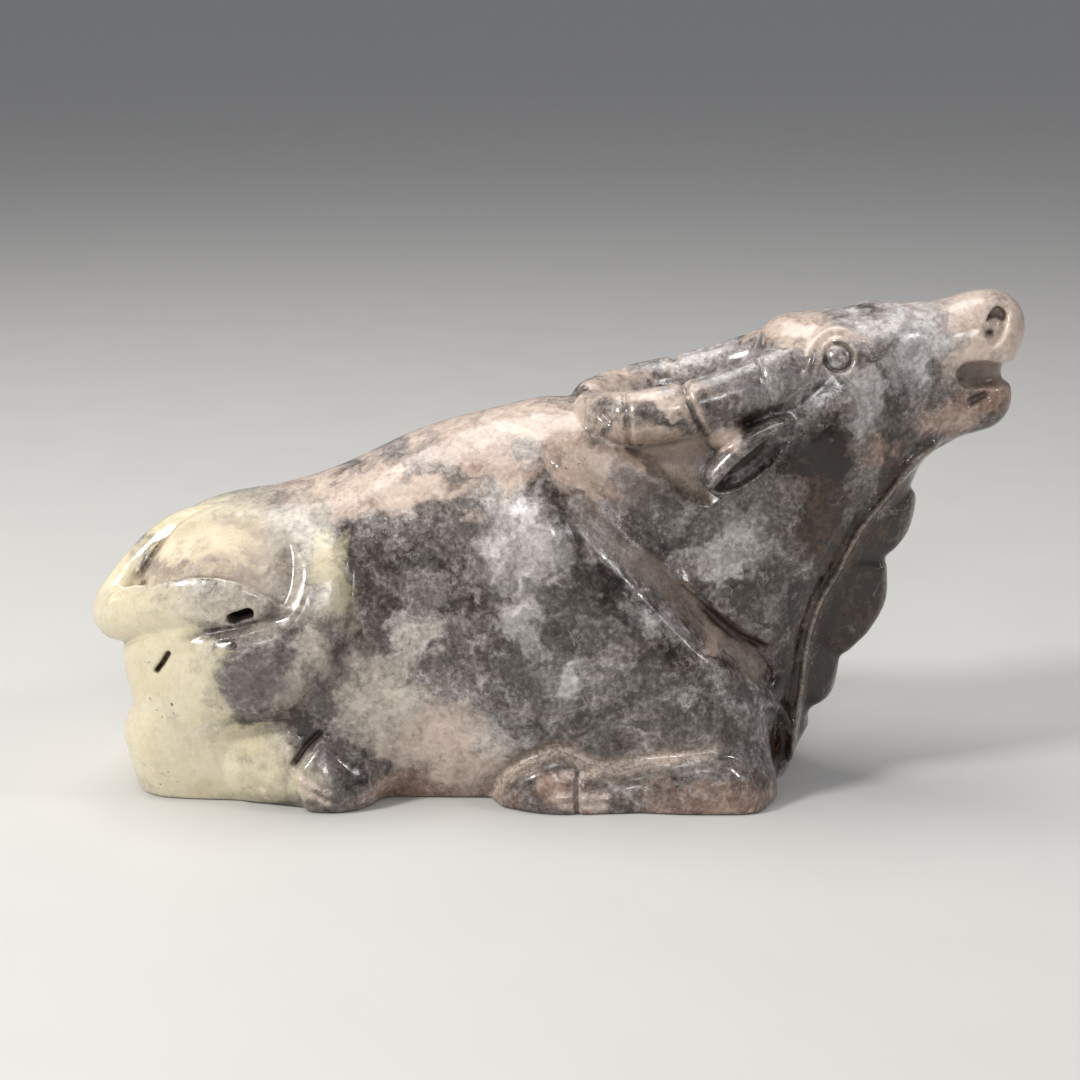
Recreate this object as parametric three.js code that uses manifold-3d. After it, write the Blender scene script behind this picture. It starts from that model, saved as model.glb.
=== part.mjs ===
// A water buffalo carved from one piece of mottled jade, lying on folded legs with its head raised.
// Millimetres. +X points to the muzzle, +Z up, and -Y is the side where the tail's tuft lies.
// The form is one field, negative inside the stone and close to the distance in millimetres.

import * as THREE from 'three';
import { mergeVertices } from 'three/addons/utils/BufferGeometryUtils.js';
import { SimplifyModifier } from 'three/addons/modifiers/SimplifyModifier.js';
import Module from 'manifold-3d';

// Driving dimensions: the finished length from tail to muzzle, the block that the form is drawn in,
// the level of its flat underside, and what is left below that for the saw.
const LENGTH = 160;
const REAR = -81;
const FRONT = 80;
const HALF_WIDTH = 30;
const TOP = 86;
const BASE = 0;
const SAW_WASTE = 2;

// Fillets where one form runs into the next, from the softest to the crispest.
const FLOWING = 6;
const SOFT = 5;
const ROUNDED = 4;
const FIRM = 3;
const TIGHT = 2;
const CRISP = 0.8;
const SHARP = 0.3;

// Cell of the first, fine mesh, how many vertices the finished mesh keeps, and the finest line it holds.
const CELL = 0.88;
const KEPT_VERTICES = 4750;
const FINEST = 0.5;

// Beyond these distances a form no longer matters to its neighbours, and relief to the surface.
const REACH = 10;
const RELIEF_REACH = 5;

// Values of a leaning or flattened form are scaled by this, to stay near the true distance.
const SKEWED = 0.85;

const mix = (a, b, t) => a + (b - a) * t;
const clamp = (v, lo, hi) => Math.min(Math.max(v, lo), hi);
const fade = (lo, hi, v) => {
  const t = clamp((v - lo) / (hi - lo), 0, 1);
  return t * t * (3 - 2 * t);
};

// Union of two fields with a fillet of about k, and field a with field b as its limit.
const join = (a, b, k) => Math.min(a, b) - (Math.max(k - Math.abs(a - b), 0) ** 2) / (4 * k);
const limit = (a, b, k) => -join(-a, -b, k);

// A smooth curve of value against position through [position, value] pairs, flat beyond its ends.
function profile(pairs) {
  const last = pairs.length - 1;
  const slope = pairs.map((p, i) => {
    const before = pairs[Math.max(i - 1, 0)];
    const after = pairs[Math.min(i + 1, last)];
    return (after[1] - before[1]) / (after[0] - before[0]);
  });
  return (s) => {
    if (s <= pairs[0][0]) return pairs[0][1];
    if (s >= pairs[last][0]) return pairs[last][1];
    let i = 0;
    while (pairs[i + 1][0] < s) i += 1;
    const span = pairs[i + 1][0] - pairs[i][0];
    const t = (s - pairs[i][0]) / span;
    const bend = t * (1 - t) * span;
    const chord = (pairs[i + 1][1] - pairs[i][1]) / span;
    const straight = mix(pairs[i][1], pairs[i + 1][1], t);
    return straight + bend * ((1 - t) * (slope[i] - chord) - t * (slope[i + 1] - chord));
  };
}

// Points along a smooth curve through the given ones.
function smoothPath(points, closed, steps) {
  const curve = new THREE.CatmullRomCurve3(points.map((p) => new THREE.Vector3(...p)), closed, 'centripetal');
  const count = (closed ? points.length : points.length - 1) * steps;
  return Array.from({ length: count + 1 }, (_, i) => curve.getPoint(i / count));
}

// A limb of round section along a curve through [x, y, z, radius] stations.
function limb(stations) {
  const steps = 4;
  const way = smoothPath(stations.map((s) => s.slice(0, 3)), false, steps);
  const girth = profile(stations.map((s, i) => [i, s[3]]));
  const radius = way.map((_, i) => girth(i / steps));
  const widest = Math.max(...radius) + REACH;
  const box = new THREE.Box3().setFromPoints(way).expandByScalar(widest);
  return (x, y, z) => {
    if (x < box.min.x || x > box.max.x || y < box.min.y || y > box.max.y) return REACH;
    if (z < box.min.z || z > box.max.z) return REACH;
    let best = REACH;
    for (let i = 1; i < way.length; i += 1) {
      const a = way[i - 1];
      const b = way[i];
      const dx = b.x - a.x;
      const dy = b.y - a.y;
      const dz = b.z - a.z;
      const along = (x - a.x) * dx + (y - a.y) * dy + (z - a.z) * dz;
      const t = clamp(along / (dx * dx + dy * dy + dz * dz), 0, 1);
      const away = Math.hypot(x - a.x - dx * t, y - a.y - dy * t, z - a.z - dz * t);
      best = Math.min(best, away - mix(radius[i - 1], radius[i], t));
    }
    return best;
  };
}

// Near-distance to an ellipsoid from an offset (px, py, pz) and half-axes (a, b, c).
function ellipsoid(px, py, pz, a, b, c) {
  const near = Math.hypot(px / a, py / b, pz / c);
  const steep = Math.hypot(px / (a * a), py / (b * b), pz / (c * c));
  return steep > 1e-6 ? (near * (near - 1)) / steep : -Math.min(a, b, c);
}

// An egg at a centre, turned about Y so that its nose tips up by lean degrees.
function egg([cx, cy, cz], [a, b, c], lean = 0) {
  const cos = Math.cos(THREE.MathUtils.degToRad(lean));
  const sin = Math.sin(THREE.MathUtils.degToRad(lean));
  const far = Math.max(a, b, c) + REACH;
  return (x, y, z) => {
    const dx = x - cx;
    const dz = z - cz;
    if (Math.hypot(dx, y - cy, dz) > far) return REACH;
    return ellipsoid(dx * cos + dz * sin, y - cy, dz * cos - dx * sin, a, b, c);
  };
}

// Signed distance, seen from the side, to a smooth outline through [x, z] points: negative inside.
function outline(points) {
  const ring = smoothPath(points.map(([x, z]) => [x, 0, z]), true, 3);
  const margin = 4;
  const box = new THREE.Box3().setFromPoints(ring).expandByScalar(margin);
  return (x, z) => {
    if (x < box.min.x || x > box.max.x || z < box.min.z || z > box.max.z) return margin;
    let best = Infinity;
    let inside = false;
    for (let i = 1; i < ring.length; i += 1) {
      const a = ring[i - 1];
      const b = ring[i];
      const dx = b.x - a.x;
      const dz = b.z - a.z;
      const t = clamp(((x - a.x) * dx + (z - a.z) * dz) / (dx * dx + dz * dz), 0, 1);
      best = Math.min(best, Math.hypot(x - a.x - dx * t, z - a.z - dz * t));
      if (a.z > z !== b.z > z && x < a.x + ((z - a.z) / dz) * dx) inside = !inside;
    }
    return inside ? -best : best;
  };
}

// Distance, seen from the side, to a smooth open line through [x, z] points.
function stroke(points) {
  const way = smoothPath(points.map(([x, z]) => [x, 0, z]), false, 3);
  const margin = 6;
  const box = new THREE.Box3().setFromPoints(way).expandByScalar(margin);
  return (x, z) => {
    if (x < box.min.x || x > box.max.x || z < box.min.z || z > box.max.z) return margin;
    let best = margin;
    for (let i = 1; i < way.length; i += 1) {
      const a = way[i - 1];
      const b = way[i];
      const dx = b.x - a.x;
      const dz = b.z - a.z;
      const t = clamp(((x - a.x) * dx + (z - a.z) * dz) / (dx * dx + dz * dz), 0, 1);
      best = Math.min(best, Math.hypot(x - a.x - dx * t, z - a.z - dz * t));
    }
    return best;
  };
}

// Carving depths. A groove follows a line, and a step lowers everything inside an outline.
const groove = (distance, depth, width) => depth * Math.exp(-((distance / Math.max(width, FINEST)) ** 2));
const step = (distance, depth, edge) => depth * fade(edge, -edge, distance);

// Height of a raised area that has a crisp foot and rounds over within its reach.
const swell = (distance, height, reach) => height * Math.sin((Math.PI / 2) * clamp(-distance / reach, 0, 1));

// Trunk: an upright oval section whose top line and flank change along the body.
const spine = profile([
  [-76, 35], [-67, 42], [-61, 45.8], [-52, 48.6], [-42, 51.2], [-35, 53.8], [-25, 58.6], [-18, 61.1],
  [-8, 63.6], [2, 65.2], [14, 66],
]);
const flank = profile([[-76, 13], [-66, 17], [-55, 20], [-43, 22], [-25, 23], [0, 23.5], [16, 22]]);
const WAIST = 22;
const KEEL = -12;
const CHEST = 6;
const CHEST_REACH = 20;
function trunk(x, y, z) {
  const tall = z > WAIST ? spine(x) - WAIST : WAIST - KEEL;
  return ellipsoid(Math.max(x - CHEST, 0), y, z - WAIST, CHEST_REACH, flank(x), tall);
}

// Shoulder, upper arm and the slanting front face where they stop against the neck.
const shoulder = egg([-2, 8, 42], [14, 13.5, 17], -30);
const arm = limb([[2, 10, 42, 11], [12, 11.5, 29, 12], [22, 12, 16, 12], [25, 12.5, 7, 11.5]]);
const SLOPE = 0.66;
const bandPlane = (x, side, z) => (x - 20.5) * SLOPE + (z - 37) * SLOPE + (side - 19) * 0.36;

// Neck: level slices, each an oval that leans forward as it rises.
const neckMiddle = profile([[0, 19], [15, 21], [30, 26], [45, 34.5], [58, 44], [70, 50]]);
const neckDepth = profile([[0, 20.1], [15, 21], [30, 20], [45, 18.5], [58, 16], [70, 12]]);
const neckHalf = profile([[0, 22], [12, 19.5], [30, 17], [45, 15], [58, 13], [70, 11.5]]);
const crest = limb([
  [2, 0, 50.5, 15], [8, 0, 51.2, 15.2], [18, 0, 51, 15], [28, 0, 53.5, 14.6], [40, 0, 60, 13.5],
]);
const nape = profile([
  [-4, 66], [5, 66], [12, 63.6], [22, 63.5], [30, 66], [35, 70.2], [40, 74.6], [46, 78.5],
]);
const hornSeat = limb([[42, 5, 66, 5], [32, 8.2, 62.4, 5.8], [22, 8.5, 60.2, 5], [12, 7, 59.8, 4.6]]);
function neck(x, y, z) {
  const slice = ellipsoid(x - neckMiddle(z), y, 0, neckDepth(z), neckHalf(z), 1) * SKEWED;
  const column = limit(join(slice, crest(x, y, z), FLOWING), z - nape(x), SOFT);
  return join(column, hornSeat(x, Math.abs(y), z), FIRM);
}

// Dewlap: a keel in front of the neck that thins out to a scalloped edge.
const dewlapEdge = profile([
  [0, 38.8], [7.4, 43.9], [10.2, 44.4], [13, 47.9], [18.2, 49.2], [21, 51], [24.2, 54.2], [29.5, 56.9],
  [36.5, 57], [38.6, 58], [42, 60.3], [47.2, 61.4], [50.5, 61], [54, 61], [58, 63.6],
]);
const dewlapMean = profile([[0, 40], [12, 46], [24, 53], [36, 58], [48, 61.4], [58, 63.6]]);
const dewlapRoot = profile([[0, 40], [16, 41.5], [25, 42.5], [37, 47.5], [50, 55.5], [58, 63]]);
const ROOT_HALF = 8.2;
const EDGE_HALF = 1.5;
const WAVE = 0.4;
const DEWLAP_DEPTH = 9;
const THROAT = 58;
function dewlap(x, side, z) {
  const edge = dewlapEdge(z);
  const root = dewlapRoot(z);
  const out = clamp((x - root) / (mix(dewlapMean(z), edge, WAVE) - root + 1), 0, 1);
  const blade = limit(side - mix(ROOT_HALF, EDGE_HALF, out), x - edge, TIGHT);
  return limit(limit(blade, root - DEWLAP_DEPTH - x, TIGHT), z - THROAT, ROUNDED) * SKEWED;
}

// Head: skull, poll, brow, bridge of the nose, muzzle and lower jaw.
const skull = egg([46.5, 0, 65.2], [13, 12.4, 11.7], 8);
const poll = egg([40.6, 0, 73.2], [7, 8.6, 6.3]);
const brow = egg([53.6, 0, 74.2], [5, 7.5, 6]);
const bridge = limb([
  [44, 0, 67.5, 9.4], [52.5, 0, 70.8, 9.4], [60, 0, 72.8, 8], [66, 0, 74.2, 7.4], [72.9, 0, 77.9, 5.2],
]);
const muzzle = egg([70.9, 0, 75.2], [6.7, 7.6, 7]);
const jaw = limb([[45, 0, 60.5, 12], [56, 0, 62.8, 8.2], [64.5, 0, 64.2, 6.7], [71, 0, 65.2, 5.8]]);

// Hindquarters and the near-flat rear face, with each folded leg.
const hip = egg([-52, 8.5, 27.5], [19.5, 15.5, 18.8]);
const rump = egg([-60, 8, 9.5], [17.5, 12.2, 18.5]);
const rearFace = profile([[0, -71.2], [5, -72.4], [10.5, -73.2], [15.5, -71.5], [21, -73], [30, -73.4]]);
const shank = limb([
  [-60, 9, 7, 8], [-53, 11.5, 5.5, 8], [-46, 14.5, 4.5, 7.6], [-40, 18, 4.5, 6.8], [-34.6, 19.6, 3.4, 5.6],
]);
const foreleg = limb([
  [29, 16.7, 1.8, 8.3], [22, 17.2, 2.4, 7.8], [14, 17.5, 1.5, 6.6], [7, 18, 1.5, 6.6], [0, 18, 3, 7],
  [-5, 17, 2.4, 5.6],
]);

// Horns sweep back along the neck and curl in over the nape, and a small web ties each to the neck.
const horn = limb([
  [44, 5.5, 71.2, 5.6], [38.6, 9, 70.6, 5.4], [31.8, 11.6, 68.4, 4.8], [23.5, 12.8, 66, 4.5],
  [15.4, 12.6, 64.3, 4.5], [9.6, 9.6, 63.4, 4.3], [6.4, 4.8, 63.6, 3.6],
]);
const hornWeb = egg([27.9, 12.4, 61.2], [3.8, 4.6, 2.9], -15);

// Ears: a thick leaf, whose hollow face looks out and leaves a thin lip below.
const earLeaf = outline([
  [23.8, 54.2], [26.2, 58.2], [31, 62.2], [37.4, 64.6], [39, 62.4], [35, 56.4], [30.6, 52.8], [26, 51.9],
]);
const earHollow = outline([
  [26, 53], [28, 55.8], [31, 58.7], [34.6, 61.4], [38.2, 63.4], [38.4, 61.8], [36.4, 58.8], [33.6, 56.1],
  [30.6, 53.9], [27.8, 52.8],
]);
const EAR_MIDDLE = 14.9;
const EAR_HALF = 3.8;
function ear(x, side, z) {
  const leaf = limit(earLeaf(x, z), Math.abs(side - EAR_MIDDLE) - EAR_HALF, FIRM);
  return leaf + step(earHollow(x, z), 2.7, 0.5) * fade(EAR_MIDDLE - 2, EAR_MIDDLE, side);
}

// The tail: a flattened strand down the middle of the rump that turns onto the near thigh as a tuft.
const TAIL_FLATNESS = 1.35;
const TUFT_LEAN = 0.6;
const FAR_RISE = 20;
const tailWay = limb([
  [-44, 0, 47, 3.8], [-55, -0.4, 43.6, 4.1], [-63.4, -0.8, 40.7, 4.6], [-69.2, -1.4, 35.9, 4.6],
  [-74.2, -3.6, 29.2, 4.6], [-72.2, -9, 29.4, 4.6], [-67.3, -14.2, 32, 5.4], [-60.5, -18.2, 34.6, 5.8],
  [-53, -20.9, 35.6, 4.9], [-47.4, -22.4, 35.2, 2.9], [-44.6, -23.2, 34.4, 1],
].map(([x, y, z, r]) => [x, y * TAIL_FLATNESS, z, r]));
const tuftEdge = profile([
  [-80, 28.6], [-77, 30.6], [-72.5, 33.4], [-66.7, 36.6], [-62.3, 38.6], [-58.9, 39.4], [-54.6, 39.4],
  [-50.5, 38.4], [-47.7, 36.9], [-45, 35],
]);
const tuftFace = profile([[-77, -10], [-70, -16], [-62, -20.6], [-55, -22.4], [-47, -23.6]]);

// On the near side the tuft has a sharp upper edge that leans away from the body. Elsewhere that limit
// rises clear of the tail.
function tail(x, y, z) {
  const above = z - tuftEdge(x) + TUFT_LEAN * (y - tuftFace(x)) - FAR_RISE * fade(-13, -3, y);
  return limit(tailWay(x, y * TAIL_FLATNESS, z) * SKEWED, above * SKEWED, SHARP);
}

// Raised and sunk areas, outlined as seen from the side.
const thighArea = outline([
  [-46, 46.4], [-41, 49.4], [-36.2, 48.6], [-34, 44], [-33.3, 38.5], [-34.3, 32], [-36.8, 25.4],
  [-41.2, 18.8], [-48.3, 13.2], [-57.7, 10.6], [-65, 13], [-65, 21], [-58, 28.6], [-51.5, 31.6],
  [-47, 32.4], [-44.4, 34.8], [-43.2, 38], [-43.2, 41.6], [-44.6, 44.4],
]);
const pocketArea = outline([
  [-72, 33.4], [-69.3, 36.7], [-67.2, 39.8], [-65.3, 42.3], [-60, 45], [-54, 46.4], [-48, 46.4], [-42, 44],
  [-42, 38], [-43, 33.4], [-47, 32.6], [-53, 34.4], [-60, 35], [-66, 33.6], [-70.6, 32.4],
]);
const underHornArea = outline([
  [4.4, 61], [8, 63.6], [14, 64], [24, 65], [33, 66.4], [31, 60], [27.4, 54], [25.4, 50.6], [21.7, 51.6],
  [17.1, 55], [11.4, 58.4], [7.4, 60],
]);
const ankleArea = outline([
  [-54, 10], [-50, 12.2], [-44, 13.2], [-41.8, 10.6], [-44, 5.6], [-45, 1], [-52.4, 0], [-55, 5],
]);
const hoofArea = outline([
  [-38.6, 12.2], [-41.6, 9.2], [-43.2, 6.8], [-42.6, 2.4], [-40, -3], [-31, -3], [-29.8, 2.6],
  [-32.2, 6.8], [-35, 9.8],
]);
const forelegArea = outline([
  [-11, -3], [-10.6, 1.5], [-9, 4.5], [-7.2, 6.6], [-4.2, 8.5], [0.7, 10], [3.6, 9], [6.2, 7.4], [10, 6.8],
  [13.9, 7.4], [18.8, 8.9], [24.6, 9.8], [29.5, 9], [34, 4], [36, -3],
]);
const shieldArea = outline([
  [-3, 54], [0.8, 50], [3.6, 45], [5, 39.2], [3.2, 33.4], [-2.6, 30.6], [-9, 33.4], [-12, 39.6],
  [-11.6, 46.4], [-8.2, 51.4],
]);
const bandArea = outline([
  [12.5, 39.8], [13.9, 36.7], [16.5, 33.9], [19.7, 30.6], [23.7, 26.4], [28.5, 23.4], [33, 20.5],
  [35.1, 17.5], [36.5, 19.4], [34.6, 23.8], [30.8, 26.6], [27.3, 29.6], [23.6, 33.9], [20.6, 36.7],
  [18.6, 40.5], [15.6, 41.9],
]);
const mouthArea = outline([
  [66.6, 70], [67.6, 71.8], [70.4, 72.2], [74, 71.6], [82, 69.9], [82, 67.9], [74, 67.9], [70.6, 67.6],
  [67.6, 68.2],
]);
const nostrilArea = outline([
  [70.7, 77.6], [71.5, 79.8], [73, 81], [74.2, 80.2], [74.4, 78.2], [73.6, 76.1], [72.2, 75], [71.1, 75.8],
]);
const nostrilRoof = outline([[71.2, 79], [72.9, 80.9], [74.4, 79.8], [74.3, 78.8], [72.9, 79.5]]);
const lid = outline([
  [40.9, 70.9], [41.1, 72.9], [41.7, 75.2], [43, 76.9], [44.6, 77.8], [46.9, 78.1], [48.6, 77],
  [49.4, 75.2], [49.3, 73.2], [48, 71.4], [46, 70.7], [43.4, 70.9],
]);

// Engraved lines and ribs, as seen from the side.
const bandLine = stroke([
  [0.8, 55.6], [3.4, 51], [7, 46.6], [12.4, 41], [18, 35.6], [23.6, 30.8], [29.6, 26], [36, 20.4],
]);
const bandSlit = stroke([[22.4, 35], [25, 32.3], [28, 29.5], [31, 27.2], [35, 25.2]]);
const neckRib = stroke([
  [69.5, 59.8], [63.7, 58.3], [59.7, 56], [55.7, 50.2], [50.9, 44.2], [47.8, 37.5], [44.6, 32], [42.7, 25],
  [41.9, 16.2], [40.4, 4],
]);
const chestRib = stroke([[36.4, 15.3], [39.2, 12], [40.4, 6]]);
const hornRings = [
  stroke([[33, 74], [34.4, 68], [35.4, 63]]),
  stroke([[20, 71], [21.6, 67], [24.4, 61]]),
  stroke([[11, 69.5], [11.4, 65], [12, 59]]),
  stroke([[8.4, 69], [5.9, 65], [6.4, 60.6]]),
  stroke([[6.4, 68.6], [4, 65.2], [4.6, 61.4]]),
];
const hornPit = stroke([[7.7, 64.6], [8.8, 63.7]]);
const hoofLine = stroke([[-38.9, 12.6], [-40.7, 10.9], [-42, 9.5], [-43.2, 8]]);
const toeSplit = stroke([[3.6, 6.8], [3.3, 4], [3.6, -1]]);
const toeLines = [
  stroke([[1, 6.8], [6.8, 6.4]]),
  stroke([[0, 3.8], [8.4, 3.3]]),
  stroke([[1, 1.9], [7.9, 1.5]]),
  stroke([[-42.2, 6.6], [-37.4, 4]]),
  stroke([[-42, 4.4], [-37.6, 2.2]]),
];
const forelegEdge = stroke([
  [-10.6, 1.6], [-8.4, 5.4], [-3.4, 8.8], [0.9, 10.2], [4.5, 8.1], [7, 7.1], [11.5, 7], [19.2, 9.1],
  [25.7, 10.4],
]);
const dewlapFolds = [
  stroke([[50, 39], [57.4, 37.4]]),
  stroke([[44.5, 24], [49.8, 19.4]]),
  stroke([[43, 13], [45.8, 9]]),
  stroke([[56, 46.6], [60.6, 50.2]]),
];
const chinPit = stroke([[69.2, 65.3], [71.4, 66.3]]);
const nostrilPit = stroke([[71.5, 76.8], [71.8, 76.9]]);
const EYE = [46.5, 74.5];
const EYE_RADIUS = 2.2;

// Eye: a low ball in an engraved ring, on a lid field that comes to a corner behind it.
function eyeRelief(x, side, z) {
  const away = Math.hypot(x - EYE[0], z - EYE[1]);
  let cut = groove(away - EYE_RADIUS, 0.5, 0.34) - swell(away - EYE_RADIUS, 0.5, EYE_RADIUS);
  cut += step(lid(x, z), 0.35, 0.3) - groove(lid(x, z) - 0.4, 0.35, 0.35);
  return cut * fade(4, 6.5, side);
}

// Depth of the carving: positive cuts into the stone, negative stands proud.
function bodyRelief(x, side, z) {
  let cut = groove(bandLine(x, z), 1.1, 2.1) + step(bandArea(x, z), 0.7, 0.4) * fade(13, 25, x);
  cut += groove(bandSlit(x, z), 1.9, 0.85) * fade(22, 27, x) * fade(36.5, 33, x);
  const thigh = fade(-65, -52, x) * fade(48, 39, z) * fade(6, 24, z) * fade(8, 14, side);
  cut -= swell(thighArea(x, z), 2, 3.4) * thigh;
  cut -= swell(shieldArea(x, z), 0.9, 3) * fade(-9, 0, x) * fade(55, 50, z) * fade(30, 38, z);
  cut += step(underHornArea(x, z), 2, 0.4) * fade(8, 12, side);
  cut -= groove(neckRib(x, z), 1, 0.6) + groove(chestRib(x, z), 0.7, 0.9);
  for (const fold of dewlapFolds) cut += groove(fold(x, z), 0.6, 1.3);
  return cut;
}

function legRelief(x, side, z) {
  let cut = groove(hoofLine(x, z), 1.3, 0.45);
  cut -= swell(ankleArea(x, z), 1.1, 3);
  cut -= swell(hoofArea(x, z), 1.5, 1.4) * fade(-31, -38, x);
  cut -= swell(forelegArea(x, z), 1.7, 2.6) - groove(forelegEdge(x, z), 0.6, 0.8);
  cut += groove(toeSplit(x, z), 0.9, 0.4);
  for (const line of toeLines) cut += groove(line(x, z), 0.4, 0.38);
  return cut * fade(6, 12, side);
}

function headRelief(x, side, z) {
  const cut = step(mouthArea(x, z), 1.4, 1.4) * fade(-5, 4, side) + groove(chinPit(x, z), 1, 0.9);
  const inside = step(nostrilArea(x, z), 1.6, 0.35) + step(nostrilRoof(x, z), 1.6, 0.4);
  return cut + (inside + groove(nostrilPit(x, z), 1, 0.55)) * fade(2, 4, side);
}

function hornRelief(x, side, z) {
  let cut = groove(hornRings[1](x, z), 0.4, 0.8) + groove(hornPit(x, z), 0.8, 0.6);
  for (const ring of hornRings) cut += groove(ring(x, z), 0.6, 0.4);
  return cut * fade(9, 13, side);
}

// Work on the tuft's side alone: the roughed-out pocket beside the tail, the slit and the drilled slot.
const slitLine = stroke([[-65.8, 22.9], [-64.7, 24.4], [-63.6, 26.2]]);
const tailCrease = stroke([[-72, 33.6], [-69.3, 37], [-67.2, 40.1], [-65.3, 42.6]]);
const drillLine = stroke([[-52.6, 32.9], [-50, 33.9]]);
const DRILL_RADIUS = 0.95;
const DRILL_STOP = -17;
function nearSideRelief(x, y, z) {
  if (y > 0) return 0;
  const pocket = step(pocketArea(x, z), 1.5, 1.8) * fade(-1, -6, y) * fade(-43, -52, x);
  const crease = groove(tailCrease(x, z), 0.45, 0.45) * fade(-3, -6, y);
  return pocket + crease + groove(slitLine(x, z), 2, 0.3);
}

// d with a relief added near its surface.
const carved = (d, relief, x, y, z) => (Math.abs(d) < RELIEF_REACH ? d + relief(x, y, z) : d);

function body(x, y, z) {
  const side = Math.abs(y);
  let d = join(trunk(x, y, z), rump(x, side, z), FLOWING);
  d = join(d, hip(x, side, z), SOFT);
  d = limit(d, rearFace(z) - x, FLOWING);
  d = join(d, shoulder(x, side, z), FLOWING);
  d = join(d, arm(x, side, z), SOFT);
  d = limit(d, bandPlane(x, side, z), ROUNDED);
  d = join(d, neck(x, y, z), TIGHT);
  d = join(d, dewlap(x, side, z), TIGHT);
  return carved(d, (u, v, w) => bodyRelief(u, side, w) + nearSideRelief(u, v, w), x, y, z);
}

function head(x, side, z) {
  let d = join(bridge(x, side, z), muzzle(x, side, z), FIRM);
  d = join(d, skull(x, side, z), ROUNDED);
  d = join(d, jaw(x, side, z), ROUNDED);
  d = join(d, poll(x, side, z), FIRM);
  d = join(d, brow(x, side, z), FIRM);
  return carved(d, headRelief, x, side, z);
}

// The whole stone. Relief is added to each group of forms before the next group joins it.
function stone(x, y, z) {
  const side = Math.abs(y);
  const nearTail = tail(x, y, z);
  let d = body(x, y, z) + groove(nearTail, 0.7, 0.7) * fade(-50, -58, x);
  d = join(d, shank(x, side, z), ROUNDED);
  d = join(d, foreleg(x, side, z), TIGHT);
  d = carved(d, legRelief, x, side, z);
  d = join(d, head(x, side, z), SOFT);
  d = join(d, nearTail, CRISP);
  if (y < DRILL_STOP) d = limit(d, DRILL_RADIUS - drillLine(x, z), SHARP);
  d = join(d, carved(horn(x, side, z), hornRelief, x, side, z), CRISP);
  d = join(d, hornWeb(x, side, z), CRISP);
  d = carved(d, eyeRelief, x, side, z);
  d = join(d, ear(x, side, z), CRISP);
  return limit(d, BASE - SAW_WASTE - z, SHARP);
}

// Field values on a grid. A block whose middle is far from the surface is filled with that one value.
function sample(field) {
  const BLOCK = 5;
  const FAR = 8;
  const spans = [FRONT - REAR, 2 * HALF_WIDTH, TOP - BASE];
  const blocks = spans.map((span) => Math.ceil((span / CELL + 7) / BLOCK));
  const count = blocks.map((n) => n * BLOCK);
  const start = [REAR, -HALF_WIDTH, BASE].map((low) => low - 3.5 * CELL);
  const values = new Float32Array(count[0] * count[1] * count[2]);
  const at = (i, j, k) => field(start[0] + i * CELL, start[1] + j * CELL, start[2] + k * CELL);
  const middle = (BLOCK - 1) / 2;
  for (let bk = 0; bk < count[2]; bk += BLOCK) {
    for (let bj = 0; bj < count[1]; bj += BLOCK) {
      for (let bi = 0; bi < count[0]; bi += BLOCK) {
        const guess = at(bi + middle, bj + middle, bk + middle);
        for (let k = bk; k < bk + BLOCK; k += 1) {
          for (let j = bj; j < bj + BLOCK; j += 1) {
            for (let i = bi; i < bi + BLOCK; i += 1) {
              values[i + count[0] * (j + count[1] * k)] = Math.abs(guess) > FAR ? guess : at(i, j, k) || 1e-5;
            }
          }
        }
      }
    }
  }
  return { count, start, values };
}

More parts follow.
